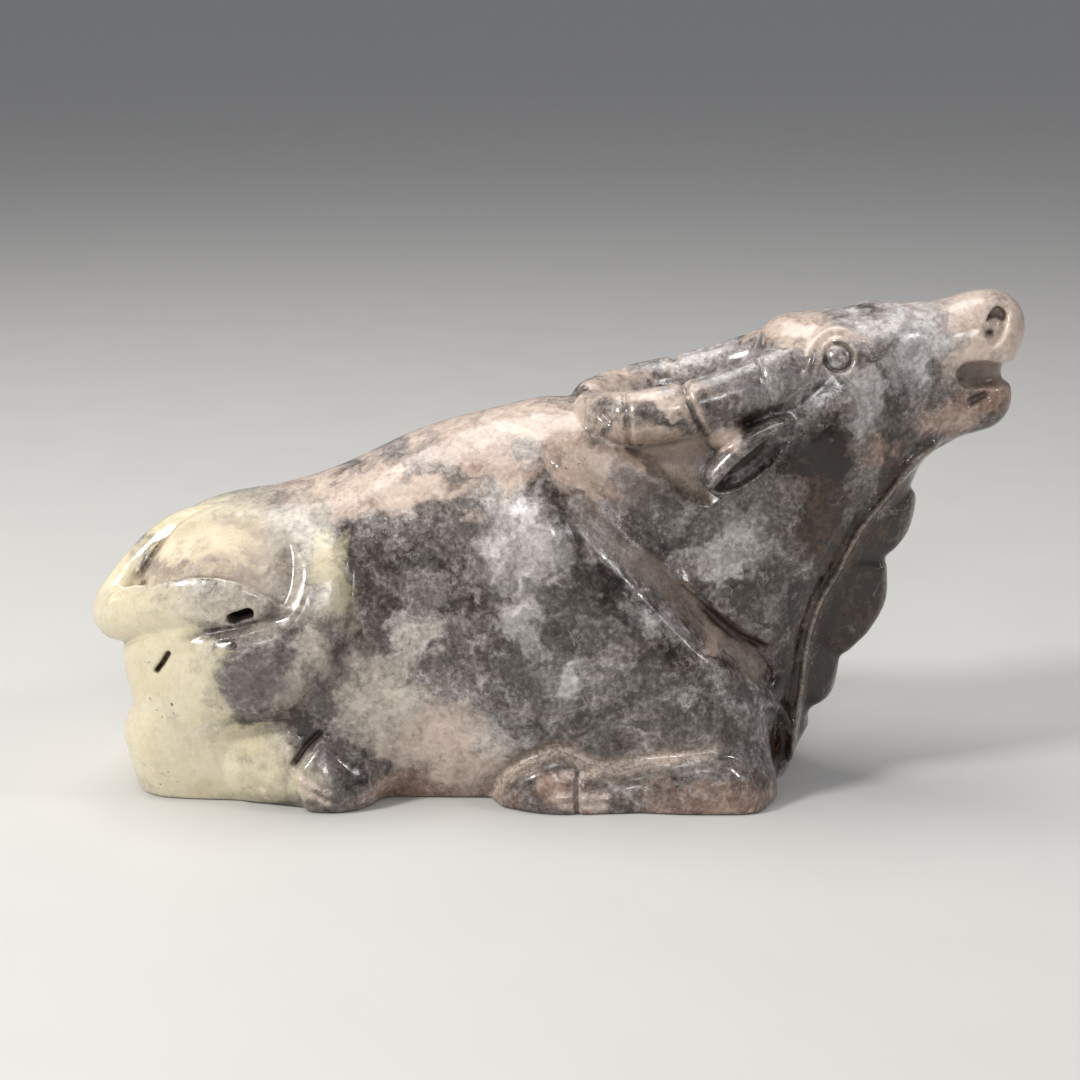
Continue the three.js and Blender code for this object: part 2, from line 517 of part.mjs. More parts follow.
// Marching tetrahedra: every cell is cut into six that share its long diagonal, so the skin is closed.
function skin({ count, start, values }) {
  const [nx, ny, nz] = count;
  const jump = (corner) => (corner & 1) + ((corner >> 1) & 1) * nx + (corner >> 2) * nx * ny;
  const orders = [[1, 2, 4, 1], [2, 4, 1, 1], [4, 1, 2, 1], [2, 1, 4, -1], [1, 4, 2, -1], [4, 2, 1, -1]];
  const tetrahedra = orders.map(([p, q, , turn]) => ({ corners: [0, p, p | q, 7], turn }));
  const onEdge = new Int32Array(values.length * 8).fill(-1);
  const positions = [];
  const triangles = [];

  // The vertex where the surface crosses the edge between two corners of the cell at (i, j, k).
  function crossing(cell, i, j, k, a, b) {
    const low = a & b;
    const slot = (cell + jump(low)) * 8 + (a ^ b);
    if (onEdge[slot] < 0) {
      const va = values[cell + jump(a)];
      const vb = values[cell + jump(b)];
      const t = clamp(va / (va - vb), 0.02, 0.98);
      onEdge[slot] = positions.length / 3;
      [i, j, k].forEach((index, axis) => {
        const from = (a >> axis) & 1;
        const to = (b >> axis) & 1;
        positions.push(start[axis] + (index + mix(from, to, t)) * CELL);
      });
    }
    return onEdge[slot];
  }

  for (let k = 0; k < nz - 1; k += 1) {
    for (let j = 0; j < ny - 1; j += 1) {
      for (let i = 0; i < nx - 1; i += 1) {
        const cell = i + nx * (j + ny * k);
        const first = values[cell] < 0;
        let same = true;
        for (let c = 1; c < 8 && same; c += 1) same = values[cell + jump(c)] < 0 === first;
        if (same) continue;
        for (const { corners, turn } of tetrahedra) {
          const inner = corners.filter((c) => values[cell + jump(c)] < 0);
          const outer = corners.filter((c) => values[cell + jump(c)] >= 0);
          if (inner.length === 0 || outer.length === 0) continue;
          const cross = (a, b) => crossing(cell, i, j, k, a, b);
          const add = (a, b, c, flip) => (flip ? triangles.push(a, c, b) : triangles.push(a, b, c));
          const order = inner.concat(outer).map((c) => corners.indexOf(c));
          let swaps = 0;
          for (let m = 0; m < 4; m += 1) {
            for (let n = m + 1; n < 4; n += 1) if (order[m] > order[n]) swaps += 1;
          }
          const flip = (turn > 0) !== (swaps % 2 === 0);
          if (inner.length === 1) {
            add(cross(inner[0], outer[0]), cross(inner[0], outer[1]), cross(inner[0], outer[2]), flip);
          } else if (inner.length === 3) {
            add(cross(inner[0], outer[0]), cross(inner[1], outer[0]), cross(inner[2], outer[0]), flip);
          } else {
            const quad = [[0, 0], [0, 1], [1, 1], [1, 0]].map(([m, n]) => cross(inner[m], outer[n]));
            add(quad[0], quad[1], quad[2], flip);
            add(quad[0], quad[2], quad[3], flip);
          }
        }
      }
    }
  }
  const geometry = new THREE.BufferGeometry();
  geometry.setAttribute('position', new THREE.Float32BufferAttribute(positions, 3));
  geometry.setIndex(triangles);
  return geometry;
}

// Evens the mesh out: each vertex moves to the middle of its neighbours and back onto the surface.
function relax(geometry, rounds) {
  const place = geometry.getAttribute('position').array;
  const index = geometry.getIndex().array;
  const nudge = 0.05;
  for (let round = 0; round < rounds; round += 1) {
    const sum = new Float32Array(place.length);
    const near = new Uint16Array(place.length / 3);
    for (let t = 0; t < index.length; t += 3) {
      for (let e = 0; e < 3; e += 1) {
        const a = index[t + e];
        const b = index[t + ((e + 1) % 3)];
        for (let axis = 0; axis < 3; axis += 1) sum[3 * a + axis] += place[3 * b + axis];
        near[a] += 1;
      }
    }
    for (let v = 0; v < near.length; v += 1) {
      const [x, y, z] = [0, 1, 2].map((axis) => mix(place[3 * v + axis], sum[3 * v + axis] / near[v], 0.6));
      const d = stone(x, y, z);
      const slope = [stone(x + nudge, y, z) - d, stone(x, y + nudge, z) - d, stone(x, y, z + nudge) - d];
      const steep = Math.max(slope.reduce((total, s) => total + s * s, 0), (0.3 * nudge) ** 2);
      const back = clamp((d * nudge) / steep, -CELL, CELL);
      [x, y, z].forEach((p, axis) => { place[3 * v + axis] = p - back * slope[axis]; });
    }
  }
  return geometry;
}

const wasm = await Module();
wasm.setup();

function solidOf(geometry) {
  const merged = mergeVertices(geometry, 1e-4);
  return new wasm.Manifold(new wasm.Mesh({
    numProp: 3,
    vertProperties: merged.attributes.position.array,
    triVerts: new Uint32Array(merged.index.array),
  }));
}

function geometryOf(solid) {
  const { vertProperties, triVerts } = solid.getMesh();
  const geometry = new THREE.BufferGeometry();
  geometry.setAttribute('position', new THREE.BufferAttribute(vertProperties, 3));
  geometry.setIndex(new THREE.BufferAttribute(triVerts, 1));
  return geometry;
}

// The field's skin, thinned to the vertices that its form needs.
async function carve() {
  const fine = relax(skin(sample(stone)), 2);
  const spare = fine.getAttribute('position').count - KEPT_VERTICES;
  return new SimplifyModifier().modify(fine, spare);
}

// The saw cut that leaves the underside flat.
function sawCut() {
  const depth = 20;
  const box = new THREE.BoxGeometry(3 * (FRONT - REAR), 8 * HALF_WIDTH, depth);
  box.translate(0, 0, BASE - depth / 2);
  box.deleteAttribute('normal');
  box.deleteAttribute('uv');
  return box;
}

const carving = geometryOf(solidOf(await carve()).subtract(solidOf(sawCut())));

// Brought to its length, with the middle of the underside at the origin.
carving.computeBoundingBox();
const { min, max } = carving.boundingBox;
carving.translate(-(min.x + max.x) / 2, -(min.y + max.y) / 2, -min.z);
carving.scale(...Array(3).fill(LENGTH / (max.x - min.x)));
carving.computeVertexNormals();

const jade = new THREE.MeshStandardMaterial({ color: 0x8b8681, roughness: 0.3, metalness: 0 });
const buffalo = new THREE.Mesh(carving, jade);
buffalo.name = 'buffalo';

const part = new THREE.Group();
part.add(buffalo);

export default part;
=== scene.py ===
"""A water buffalo carved from one piece of mottled hardstone, on a plain pale floor.

The carving's form is a field, negative inside the stone and near to the distance in millimetres. Its fine
skin is drawn from that field, dressed with a procedural stone and set in the box of the CAD model's solid.
Form coordinates are millimetres: +X to the muzzle, +Z up, and -Y is the side where the tail's tuft lies.
"""

import math

import bpy
import numpy as np
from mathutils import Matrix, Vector


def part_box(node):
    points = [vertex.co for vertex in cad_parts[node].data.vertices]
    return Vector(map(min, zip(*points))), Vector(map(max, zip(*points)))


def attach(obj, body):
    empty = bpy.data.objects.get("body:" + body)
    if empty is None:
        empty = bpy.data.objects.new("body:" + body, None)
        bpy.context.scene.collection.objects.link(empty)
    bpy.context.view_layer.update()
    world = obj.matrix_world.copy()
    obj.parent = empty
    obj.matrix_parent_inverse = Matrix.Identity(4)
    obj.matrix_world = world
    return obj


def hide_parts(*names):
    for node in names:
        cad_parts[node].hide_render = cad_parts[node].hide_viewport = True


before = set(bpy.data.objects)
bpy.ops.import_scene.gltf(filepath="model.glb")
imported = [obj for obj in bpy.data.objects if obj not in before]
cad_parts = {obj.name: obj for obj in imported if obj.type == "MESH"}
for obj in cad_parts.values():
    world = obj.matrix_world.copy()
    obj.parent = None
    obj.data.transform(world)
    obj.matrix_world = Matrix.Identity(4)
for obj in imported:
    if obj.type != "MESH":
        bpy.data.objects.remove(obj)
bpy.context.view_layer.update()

# The block that holds the form, its flat base, and the cell and the most triangles of the fine mesh.
LOW = np.array([-82.0, -29.0, -1.5])
HIGH = np.array([82.0, 29.0, 87.0])
BASE = 0
CELL = 0.42
TRIANGLES = 190000

# Fillets where one form runs into the next, from the softest to the crispest.
FLOWING = 6
SOFT = 5
ROUNDED = 4
FIRM = 3
TIGHT = 2
CRISP = 0.8

# The edge of a cut or of the base, and the share that brings a field with a steep slope near to distance.
SHARP = 0.3
SKEWED = 0.85

# Beyond these distances a form no longer matters to its neighbours, and relief to the surface.
REACH = 10
RELIEF_REACH = 5


def mix(a, b, t):
    return a + (b - a) * t


def fade(lo, hi, v):
    t = np.clip((v - lo) / (hi - lo), 0, 1)
    return t * t * (3 - 2 * t)


def join(a, b, k):
    """Union of two fields with a fillet of about k."""
    return np.minimum(a, b) - np.maximum(k - np.abs(a - b), 0) ** 2 / (4 * k)


def limit(a, b, k):
    """Field a with field b as its limit."""
    return -join(-a, -b, k)


def within(value, mask, inner):
    """value everywhere, and inner(indices) where the mask holds."""
    out = np.full(mask.shape, value, np.float32)
    some = np.flatnonzero(mask)
    if len(some):
        out[some] = inner(some)
    return out


def profile(pairs):
    """A smooth curve of value against position through (position, value) pairs, flat beyond its ends."""
    at, value = np.array(pairs, float).T
    chord = np.diff(value) / np.diff(at)
    wide = (value[2:] - value[:-2]) / (at[2:] - at[:-2])
    slope = np.concatenate([chord[:1], wide, chord[-1:]])

    def curve(s):
        s = np.clip(s, at[0], at[-1])
        i = np.clip(np.searchsorted(at, s) - 1, 0, len(chord) - 1)
        span = at[i + 1] - at[i]
        t = (s - at[i]) / span
        turn = (1 - t) * (slope[i] - chord[i]) - t * (slope[i + 1] - chord[i])
        return mix(value[i], value[i + 1], t) + t * (1 - t) * span * turn
    return curve


def smooth_path(points, closed, steps):
    """Points along a centripetal Catmull-Rom curve through the given ones."""
    p = np.array(points, float)
    count = len(p)
    if closed:
        p = np.concatenate([p[-1:], p, p[:2]])
    else:
        p = np.concatenate([2 * p[:1] - p[1:2], p, 2 * p[-1:] - p[-2:-1]])
    way = []
    for i in range(count if closed else count - 1):
        a, b, c, d = p[i:i + 4]
        ab, bc, cd = (max(np.sqrt(np.linalg.norm(v - u)), 1e-4) for u, v in ((a, b), (b, c), (c, d)))
        out = ((b - a) / ab - (c - a) / (ab + bc) + (c - b) / bc) * bc
        into = ((c - b) / bc - (d - b) / (bc + cd) + (d - c) / cd) * bc
        for t in np.arange(steps) / steps:
            bend, twist = 3 * (c - b) - 2 * out - into, 2 * (b - c) + out + into
            way.append(b + out * t + bend * t ** 2 + twist * t ** 3)
    way.append(p[1] if closed else p[-2])
    return np.array(way)


def limb(stations):
    """A limb of round section along a curve through (x, y, z, radius) stations."""
    steps = 6
    way = smooth_path([s[:3] for s in stations], False, steps)
    radius = profile([(i, s[3]) for i, s in enumerate(stations)])(np.arange(len(way)) / steps)
    low, high = way.min(0) - radius.max() - REACH, way.max(0) + radius.max() + REACH

    def field(x, y, z):
        near = (x > low[0]) & (x < high[0]) & (y > low[1]) & (y < high[1]) & (z > low[2]) & (z < high[2])

        def inner(some):
            px, py, pz = x[some], y[some], z[some]
            best = np.full(len(some), REACH, np.float32)
            for a, b, ra, rb in zip(way, way[1:], radius, radius[1:]):
                dx, dy, dz = (b - a).astype(np.float32)
                ax, ay, az = px - np.float32(a[0]), py - np.float32(a[1]), pz - np.float32(a[2])
                t = np.clip((ax * dx + ay * dy + az * dz) / (dx * dx + dy * dy + dz * dz), 0, 1)
                away = np.sqrt((ax - dx * t) ** 2 + (ay - dy * t) ** 2 + (az - dz * t) ** 2)
                np.minimum(best, away - np.float32(ra) - np.float32(rb - ra) * t, out=best)
            return best
        return within(REACH, near, inner)
    return field


def ellipsoid(px, py, pz, a, b, c):
    """Near-distance to an ellipsoid from an offset and half-axes."""
    near = np.sqrt((px / a) ** 2 + (py / b) ** 2 + (pz / c) ** 2)
    steep = np.sqrt((px / a ** 2) ** 2 + (py / b ** 2) ** 2 + (pz / c ** 2) ** 2)
    return near * (near - 1) / np.maximum(steep, 1e-6)


def egg(centre, axes, lean=0):
    """An egg at a centre, turned about Y so that its nose tips up by lean degrees."""
    cos, sin = math.cos(math.radians(lean)), math.sin(math.radians(lean))
    far = max(axes) + REACH

    def field(x, y, z):
        dx, dy, dz = x - centre[0], y - centre[1], z - centre[2]

        def inner(some):
            ex, ey, ez = dx[some], dy[some], dz[some]
            return ellipsoid(ex * cos + ez * sin, ey, ez * cos - ex * sin, *axes)
        return within(REACH, dx * dx + dy * dy + dz * dz < far * far, inner)
    return field


def side_curve(points, closed):
    """Distance, seen from the side, to a smooth line through (x, z) points: signed if it is closed."""
    way = smooth_path(points, closed, 3)
    margin = 4 if closed else 6
    low, high = way.min(0) - margin, way.max(0) + margin

    def field(x, z):
        def inner(some):
            px, pz = x[some], z[some]
            best = np.full(len(some), 1e9, np.float32)
            odd = np.zeros(len(some), bool)
            for (ax, az), (bx, bz) in zip(way, way[1:]):
                dx, dz = bx - ax, bz - az
                qx, qz = px - np.float32(ax), pz - np.float32(az)
                t = np.clip((qx * np.float32(dx) + qz * np.float32(dz)) / np.float32(dx * dx + dz * dz), 0, 1)
                np.minimum(best, (qx - np.float32(dx) * t) ** 2 + (qz - np.float32(dz) * t) ** 2, out=best)
                if closed and az != bz:
                    odd ^= ((az > pz) != (bz > pz)) & (qx < qz * np.float32(dx / dz))
            best = np.sqrt(best)
            return np.where(odd, -best, best) if closed else np.minimum(best, margin)
        return within(margin, (x > low[0]) & (x < high[0]) & (z > low[1]) & (z < high[1]), inner)
    return field


def outline(*points):
    return side_curve(points, True)


def stroke(*points):
    return side_curve(points, False)


def bell(distance, width):
    return np.exp(-(distance / width) ** 2)


def groove(distance, depth, width):
    """Depth of a carved line at a distance from its middle."""
    return depth * bell(distance, width)


def step(distance, depth, edge):
    """Depth of a lowered area, from the signed distance to its outline."""
    return depth * fade(edge, -edge, distance)


def swell(distance, height, reach):
    """Height of a raised area that has a crisp foot and rounds over within its reach."""
    return height * np.sin(np.pi / 2 * np.clip(-distance / reach, 0, 1))


# Trunk: an upright oval section whose top line and flank change along the body.
spine = profile([
    (-76, 35), (-67, 42), (-61, 45.8), (-52, 48.6), (-42, 51.2), (-35, 53.8),
    (-25, 58.6), (-18, 61.1), (-8, 63.6), (2, 65.2), (14, 66),
])
flank = profile([(-76, 13), (-66, 17), (-55, 20), (-43, 22), (-25, 23), (0, 23.5), (16, 22)])
WAIST, KEEL = 22, -12
CHEST, CHEST_REACH = 6, 20


def trunk(x, y, z):
    tall = np.where(z > WAIST, spine(x) - WAIST, WAIST - KEEL)
    return ellipsoid(np.maximum(x - CHEST, 0), y, z - WAIST, CHEST_REACH, flank(x), tall)


# Shoulder, upper arm and the slanting front face where they stop against the neck.
shoulder = egg((-2, 8, 42), (14, 13.5, 17), -30)
arm = limb([(2, 10, 42, 11), (12, 11.5, 29, 12), (22, 12, 16, 12), (25, 12.5, 7, 11.5)])
SLOPE = 0.66


def band_plane(x, side, z):
    return (x - 20.5) * SLOPE + (z - 37) * SLOPE + (side - 19) * 0.36


# Neck: level slices, each an oval that leans forward as it rises.
neck_middle = profile([(0, 19), (15, 21), (30, 26), (45, 34.5), (58, 44), (70, 50)])
neck_depth = profile([(0, 20.1), (15, 21), (30, 20), (45, 18.5), (58, 16), (70, 12)])
neck_half = profile([(0, 22), (12, 19.5), (30, 17), (45, 15), (58, 13), (70, 11.5)])
crest = limb([(2, 0, 50.5, 15), (8, 0, 51.2, 15.2), (18, 0, 51, 15), (28, 0, 53.5, 14.6), (40, 0, 60, 13.5)])
nape = profile([(-4, 66), (5, 66), (12, 63.6), (22, 63.5), (30, 66), (35, 70.2), (40, 74.6), (46, 78.5)])
horn_seat = limb([(42, 5, 66, 5), (32, 8.2, 62.4, 5.8), (22, 8.5, 60.2, 5), (12, 7, 59.8, 4.6)])
NECK_LEAN = 0.85


def neck(x, y, z):
    part = ellipsoid(x - neck_middle(z), y, 0, neck_depth(z), neck_half(z), 1) * NECK_LEAN
    column = limit(join(part, crest(x, y, z), FLOWING), z - nape(x), SOFT)
    return join(column, horn_seat(x, np.abs(y), z), FIRM)


# Dewlap: a thin keel in front of the neck with a scalloped edge.
dewlap_edge = profile([
    (0, 38.8), (7.4, 43.9), (10.2, 44.4), (13, 47.9), (18.2, 49.2), (21, 51), (24.2, 54.2), (29.5, 56.9),
    (36.5, 57), (38.6, 58), (42, 60.3), (47.2, 61.4), (50.5, 61), (54, 61), (58, 63.6),
])
dewlap_mean = profile([(0, 40), (12, 46), (24, 53), (36, 58), (48, 61.4), (58, 63.6)])
dewlap_root = profile([(0, 40), (16, 41.5), (25, 42.5), (37, 47.5), (50, 55.5), (58, 63)])
ROOT_HALF, EDGE_HALF = 8.2, 1.5
DEWLAP_DEPTH, THROAT = 9, 58
WAVE = 0.4


def dewlap(x, side, z):
    edge, root = dewlap_edge(z), dewlap_root(z)
    out = np.clip((x - root) / (mix(dewlap_mean(z), edge, WAVE) - root + 1), 0, 1)
    blade = limit(side - mix(ROOT_HALF, EDGE_HALF, out), x - edge, TIGHT)
    return limit(limit(blade, root - DEWLAP_DEPTH - x, TIGHT), z - THROAT, ROUNDED) * SKEWED


# Head: skull, poll, brow, bridge of the nose, muzzle and lower jaw.
skull = egg((46.5, 0, 65.2), (13, 12.4, 11.7), 8)
poll = egg((40.6, 0, 73.2), (7, 8.6, 6.3))
brow = egg((53.6, 0, 74.2), (5, 7.5, 6))
bridge = limb([
    (44, 0, 67.5, 9.4), (52.5, 0, 70.8, 9.4), (60, 0, 72.8, 8), (66, 0, 74.2, 7.4), (72.9, 0, 77.9, 5.2),
])
muzzle = egg((70.9, 0, 75.2), (6.7, 7.6, 7))
jaw = limb([(45, 0, 60.5, 12), (56, 0, 62.8, 8.2), (64.5, 0, 64.2, 6.7), (71, 0, 65.2, 5.8)])

# Hindquarters and the near-flat rear face, with each folded leg.
hip = egg((-52, 8.5, 27.5), (19.5, 15.5, 18.8))
rump = egg((-60, 8, 9.5), (17.5, 12.2, 18.5))
rear_face = profile([(0, -71.2), (5, -72.4), (10.5, -73.2), (15.5, -71.5), (21, -73), (30, -73.4)])
shank = limb([
    (-60, 9, 7, 8), (-53, 11.5, 5.5, 8), (-46, 14.5, 4.5, 7.6), (-40, 18, 4.5, 6.8), (-34.6, 19.6, 3.4, 5.6),
])
foreleg = limb([
    (29, 16.7, 1.8, 8.3), (22, 17.2, 2.4, 7.8), (14, 17.5, 1.5, 6.6), (7, 18, 1.5, 6.6),
    (0, 18, 3, 7), (-5, 17, 2.4, 5.6),
])

# Horns sweep back along the neck and curl in over the nape.
horn = limb([
    (44, 5.5, 71.2, 5.6), (38.6, 9, 70.6, 5.4), (31.8, 11.6, 68.4, 4.8), (23.5, 12.8, 66, 4.5),
    (15.4, 12.6, 64.3, 4.5), (9.6, 9.6, 63.4, 4.3), (6.4, 4.8, 63.6, 3.6),
])
horn_web = egg((27.9, 12.4, 61.2), (3.8, 4.6, 2.9), -15)


# Ears: a thick leaf, whose hollow face looks out and leaves a thin lip below.
ear_leaf = outline(
    (23.8, 54.2), (26.2, 58.2), (31, 62.2), (37.4, 64.6), (39, 62.4), (35, 56.4), (30.6, 52.8), (26, 51.9))
ear_hollow = outline(
    (26, 53), (28, 55.8), (31, 58.7), (34.6, 61.4), (38.2, 63.4), (38.4, 61.8), (36.4, 58.8), (33.6, 56.1),
    (30.6, 53.9), (27.8, 52.8))
EAR_MIDDLE, EAR_HALF = 14.9, 3.8


def ear(x, side, z):
    leaf = limit(ear_leaf(x, z), np.abs(side - EAR_MIDDLE) - EAR_HALF, FIRM)
    return leaf + step(ear_hollow(x, z), 2.7, 0.5) * fade(EAR_MIDDLE - 2, EAR_MIDDLE, side)


# The tail: a flattened strand down the middle of the rump that turns onto the near thigh as a tuft.
TAIL_FLATNESS, TUFT_LEAN, FAR_RISE = 1.35, 0.6, 20
tail_way = limb([(x, y * TAIL_FLATNESS, z, r) for x, y, z, r in (
    (-44, 0, 47, 3.8), (-55, -0.4, 43.6, 4.1), (-63.4, -0.8, 40.7, 4.6), (-69.2, -1.4, 35.9, 4.6),
    (-74.2, -3.6, 29.2, 4.6), (-72.2, -9, 29.4, 4.6), (-67.3, -14.2, 32, 5.4), (-60.5, -18.2, 34.6, 5.8),
    (-53, -20.9, 35.6, 4.9), (-47.4, -22.4, 35.2, 2.9), (-44.6, -23.2, 34.4, 1),
)])
tuft_edge = profile([
    (-80, 28.6), (-77, 30.6), (-72.5, 33.4), (-66.7, 36.6), (-62.3, 38.6), (-58.9, 39.4), (-54.6, 39.4),
    (-50.5, 38.4), (-47.7, 36.9), (-45, 35),
])
tuft_face = profile([(-77, -10), (-70, -16), (-62, -20.6), (-55, -22.4), (-47, -23.6)])


def tail(x, y, z):
    """The tail, whose tuft has a sharp upper edge that leans away from the body on the near side."""
    above = z - tuft_edge(x) + TUFT_LEAN * (y - tuft_face(x)) - FAR_RISE * fade(-13, -3, y)
    return limit(tail_way(x, y * TAIL_FLATNESS, z) * SKEWED, above * 0.7, SHARP)


# Raised and sunk areas, outlined as seen from the side.
thigh_area = outline(
    (-46, 46.4), (-41, 49.4), (-36.2, 48.6), (-34, 44), (-33.3, 38.5), (-34.3, 32), (-36.8, 25.4),
    (-41.2, 18.8), (-48.3, 13.2), (-57.7, 10.6), (-65, 13), (-65, 21), (-58, 28.6), (-51.5, 31.6),
    (-47, 32.4), (-44.4, 34.8), (-43.2, 38), (-43.2, 41.6), (-44.6, 44.4))
pocket_area = outline(
    (-72, 33.4), (-69.3, 36.7), (-67.2, 39.8), (-65.3, 42.3), (-60, 45), (-54, 46.4), (-48, 46.4), (-42, 44),
    (-42, 38), (-43, 33.4), (-47, 32.6), (-53, 34.4), (-60, 35), (-66, 33.6), (-70.6, 32.4))
under_horn_area = outline(
    (4.4, 61), (8, 63.6), (14, 64), (24, 65), (33, 66.4), (31, 60), (27.4, 54), (25.4, 50.6), (21.7, 51.6),
    (17.1, 55), (11.4, 58.4), (7.4, 60))
ankle_area = outline(
    (-54, 10), (-50, 12.2), (-44, 13.2), (-41.8, 10.6), (-44, 5.6), (-45, 1), (-52.4, 0), (-55, 5))
hoof_area = outline(
    (-38.6, 12.2), (-41.6, 9.2), (-43.2, 6.8), (-42.6, 2.4), (-40, -3), (-31, -3), (-29.8, 2.6),
    (-32.2, 6.8), (-35, 9.8))
foreleg_area = outline(
    (-11, -3), (-10.6, 1.5), (-9, 4.5), (-7.2, 6.6), (-4.2, 8.5), (0.7, 10), (3.6, 9), (6.2, 7.4), (10, 6.8),
    (13.9, 7.4), (18.8, 8.9), (24.6, 9.8), (29.5, 9), (34, 4), (36, -3))
shield_area = outline(
    (-3, 54), (0.8, 50), (3.6, 45), (5, 39.2), (3.2, 33.4), (-2.6, 30.6), (-9, 33.4), (-12, 39.6),
    (-11.6, 46.4), (-8.2, 51.4))
band_area = outline(
    (12.5, 39.8), (13.9, 36.7), (16.5, 33.9), (19.7, 30.6), (23.7, 26.4), (28.5, 23.4), (33, 20.5),
    (35.1, 17.5), (36.5, 19.4), (34.6, 23.8), (30.8, 26.6), (27.3, 29.6), (23.6, 33.9), (20.6, 36.7),
    (18.6, 40.5), (15.6, 41.9))
mouth_area = outline(
    (66.6, 70), (67.6, 71.8), (70.4, 72.2), (74, 71.6), (82, 69.9), (82, 67.9), (74, 67.9), (70.6, 67.6),
    (67.6, 68.2))
nostril_area = outline(
    (70.7, 77.6), (71.5, 79.8), (73, 81), (74.2, 80.2), (74.4, 78.2), (73.6, 76.1), (72.2, 75), (71.1, 75.8))
nostril_roof = outline((71.2, 79), (72.9, 80.9), (74.4, 79.8), (74.3, 78.8), (72.9, 79.5))

# Engraved lines and ribs, as seen from the side.
band_line = stroke(
    (0.8, 55.6), (3.4, 51), (7, 46.6), (12.4, 41), (18, 35.6), (23.6, 30.8), (29.6, 26), (36, 20.4))
band_slit = stroke((22.4, 35), (25, 32.3), (28, 29.5), (31, 27.2), (35, 25.2))
arm_ridge = stroke((20.4, 29.6), (23.7, 26.2), (28.5, 23), (33, 20), (35.4, 16.5))
neck_rib = stroke(
    (69.5, 59.8), (63.7, 58.3), (59.7, 56), (55.7, 50.2), (50.9, 44.2), (47.8, 37.5), (44.6, 32), (42.7, 25),
    (41.9, 16.2), (40.4, 4))
chest_rib = stroke((36.4, 15.3), (39.2, 12), (40.4, 6))
horn_rings = [
    stroke((33, 74), (34.4, 68), (35.4, 63)),
    stroke((20, 71), (21.6, 67), (24.4, 61)),
    stroke((11, 69.5), (11.4, 65), (12, 59)),
    stroke((8.4, 69), (5.9, 65), (6.4, 60.6)),
    stroke((6.4, 68.6), (4, 65.2), (4.6, 61.4)),
]
horn_pit = stroke((7.7, 64.6), (8.8, 63.7))
hoof_line = stroke((-38.9, 12.6), (-40.7, 10.9), (-42, 9.5), (-43.2, 8))
toe_split = stroke((3.6, 6.8), (3.3, 4), (3.6, -1))
toe_lines = [
    stroke((1, 6.8), (6.8, 6.4)),
    stroke((0, 3.8), (8.4, 3.3)),
    stroke((1, 1.9), (7.9, 1.5)),
    stroke((-42.2, 6.6), (-37.4, 4)),
    stroke((-42, 4.4), (-37.6, 2.2)),
]
foreleg_edge = stroke(
    (-10.6, 1.6), (-8.4, 5.4), (-3.4, 8.8), (0.9, 10.2), (4.5, 8.1), (7, 7.1), (11.5, 7), (19.2, 9.1),
    (25.7, 10.4))
dewlap_folds = [
    stroke((50, 39), (57.4, 37.4)),
    stroke((44.5, 24), (49.8, 19.4)),
    stroke((43, 13), (45.8, 9)),
    stroke((56, 46.6), (60.6, 50.2)),
]
lid_rim = stroke(
    (42, 71), (43.3, 73.9), (44.7, 75.8), (46.2, 76.6), (48, 75.8), (48.8, 73.8), (48.1, 71.9), (46.6, 71))
lid_fold = stroke((40.6, 71), (41, 73.6), (42.7, 76.6), (45.2, 78.2), (47.8, 78), (49.6, 76.4))
chin_pit = stroke((69.2, 65.3), (71.4, 66.3))
nostril_pit = stroke((71.5, 76.8), (71.8, 76.9))
EYE = (46.1, 73.9)
EYE_RADIUS = 2.2


def eye_relief(x, side, z):
    """A low ball in an engraved ring, below a thin lid and a fold that come to a corner behind it."""
    away = np.hypot(x - EYE[0], z - EYE[1])
    cut = groove(away - EYE_RADIUS, 0.5, 0.36) - swell(away - EYE_RADIUS, 0.7, EYE_RADIUS)
    cut -= groove(lid_rim(x, z), 0.5, 0.5) + groove(lid_fold(x, z), 0.45, 0.6)
    return cut * fade(4, 6.5, side)


def body_relief(x, side, z):
    """Depth of the carving: positive cuts into the stone, negative stands proud."""
    cut = groove(band_line(x, z), 1.1, 2.1) + step(band_area(x, z), 0.7, 0.4) * fade(13, 25, x)
    cut += groove(band_slit(x, z), 1.9, 0.85) * fade(22, 27, x) * fade(36.5, 33, x)
    thigh = fade(-65, -52, x) * fade(48, 39, z) * fade(6, 24, z) * fade(8, 14, side)
    cut -= swell(thigh_area(x, z), 2, 3.4) * thigh
    cut -= swell(shield_area(x, z), 0.9, 3) * fade(-9, 0, x) * fade(55, 50, z) * fade(30, 38, z)
    cut += step(under_horn_area(x, z), 2, 1.3) * fade(4, 16, x) * fade(8, 12, side)
    cut -= groove(neck_rib(x, z), 1, 0.6) + groove(chest_rib(x, z), 0.7, 0.9)
    cut -= groove(arm_ridge(x, z), 0.7, 1.5) * fade(20, 25, x)
    for fold in dewlap_folds:
        cut += groove(fold(x, z), 0.6, 1.3)
    return cut


def leg_relief(x, side, z):
    cut = groove(hoof_line(x, z), 1.3, 0.45)
    cut -= swell(ankle_area(x, z), 1.1, 3)
    cut -= swell(hoof_area(x, z), 1.5, 1.4) * fade(-31, -38, x)
    cut -= swell(foreleg_area(x, z), 1.7, 2.6) - groove(foreleg_edge(x, z), 0.6, 0.8)
    cut += groove(toe_split(x, z), 0.9, 0.4)
    for line in toe_lines:
        cut += groove(line(x, z), 0.45, 0.42)
    return cut * fade(6, 12, side)


def head_relief(x, side, z):
    cut = step(mouth_area(x, z), 1.6, 0.7) * fade(-5, 4, side) + groove(chin_pit(x, z), 1.4, 0.8)
    inside = step(nostril_area(x, z), 1.6, 0.35) + step(nostril_roof(x, z), 2.2, 0.35)
    return cut + (inside + groove(nostril_pit(x, z), 1, 0.55)) * fade(2, 4, side)


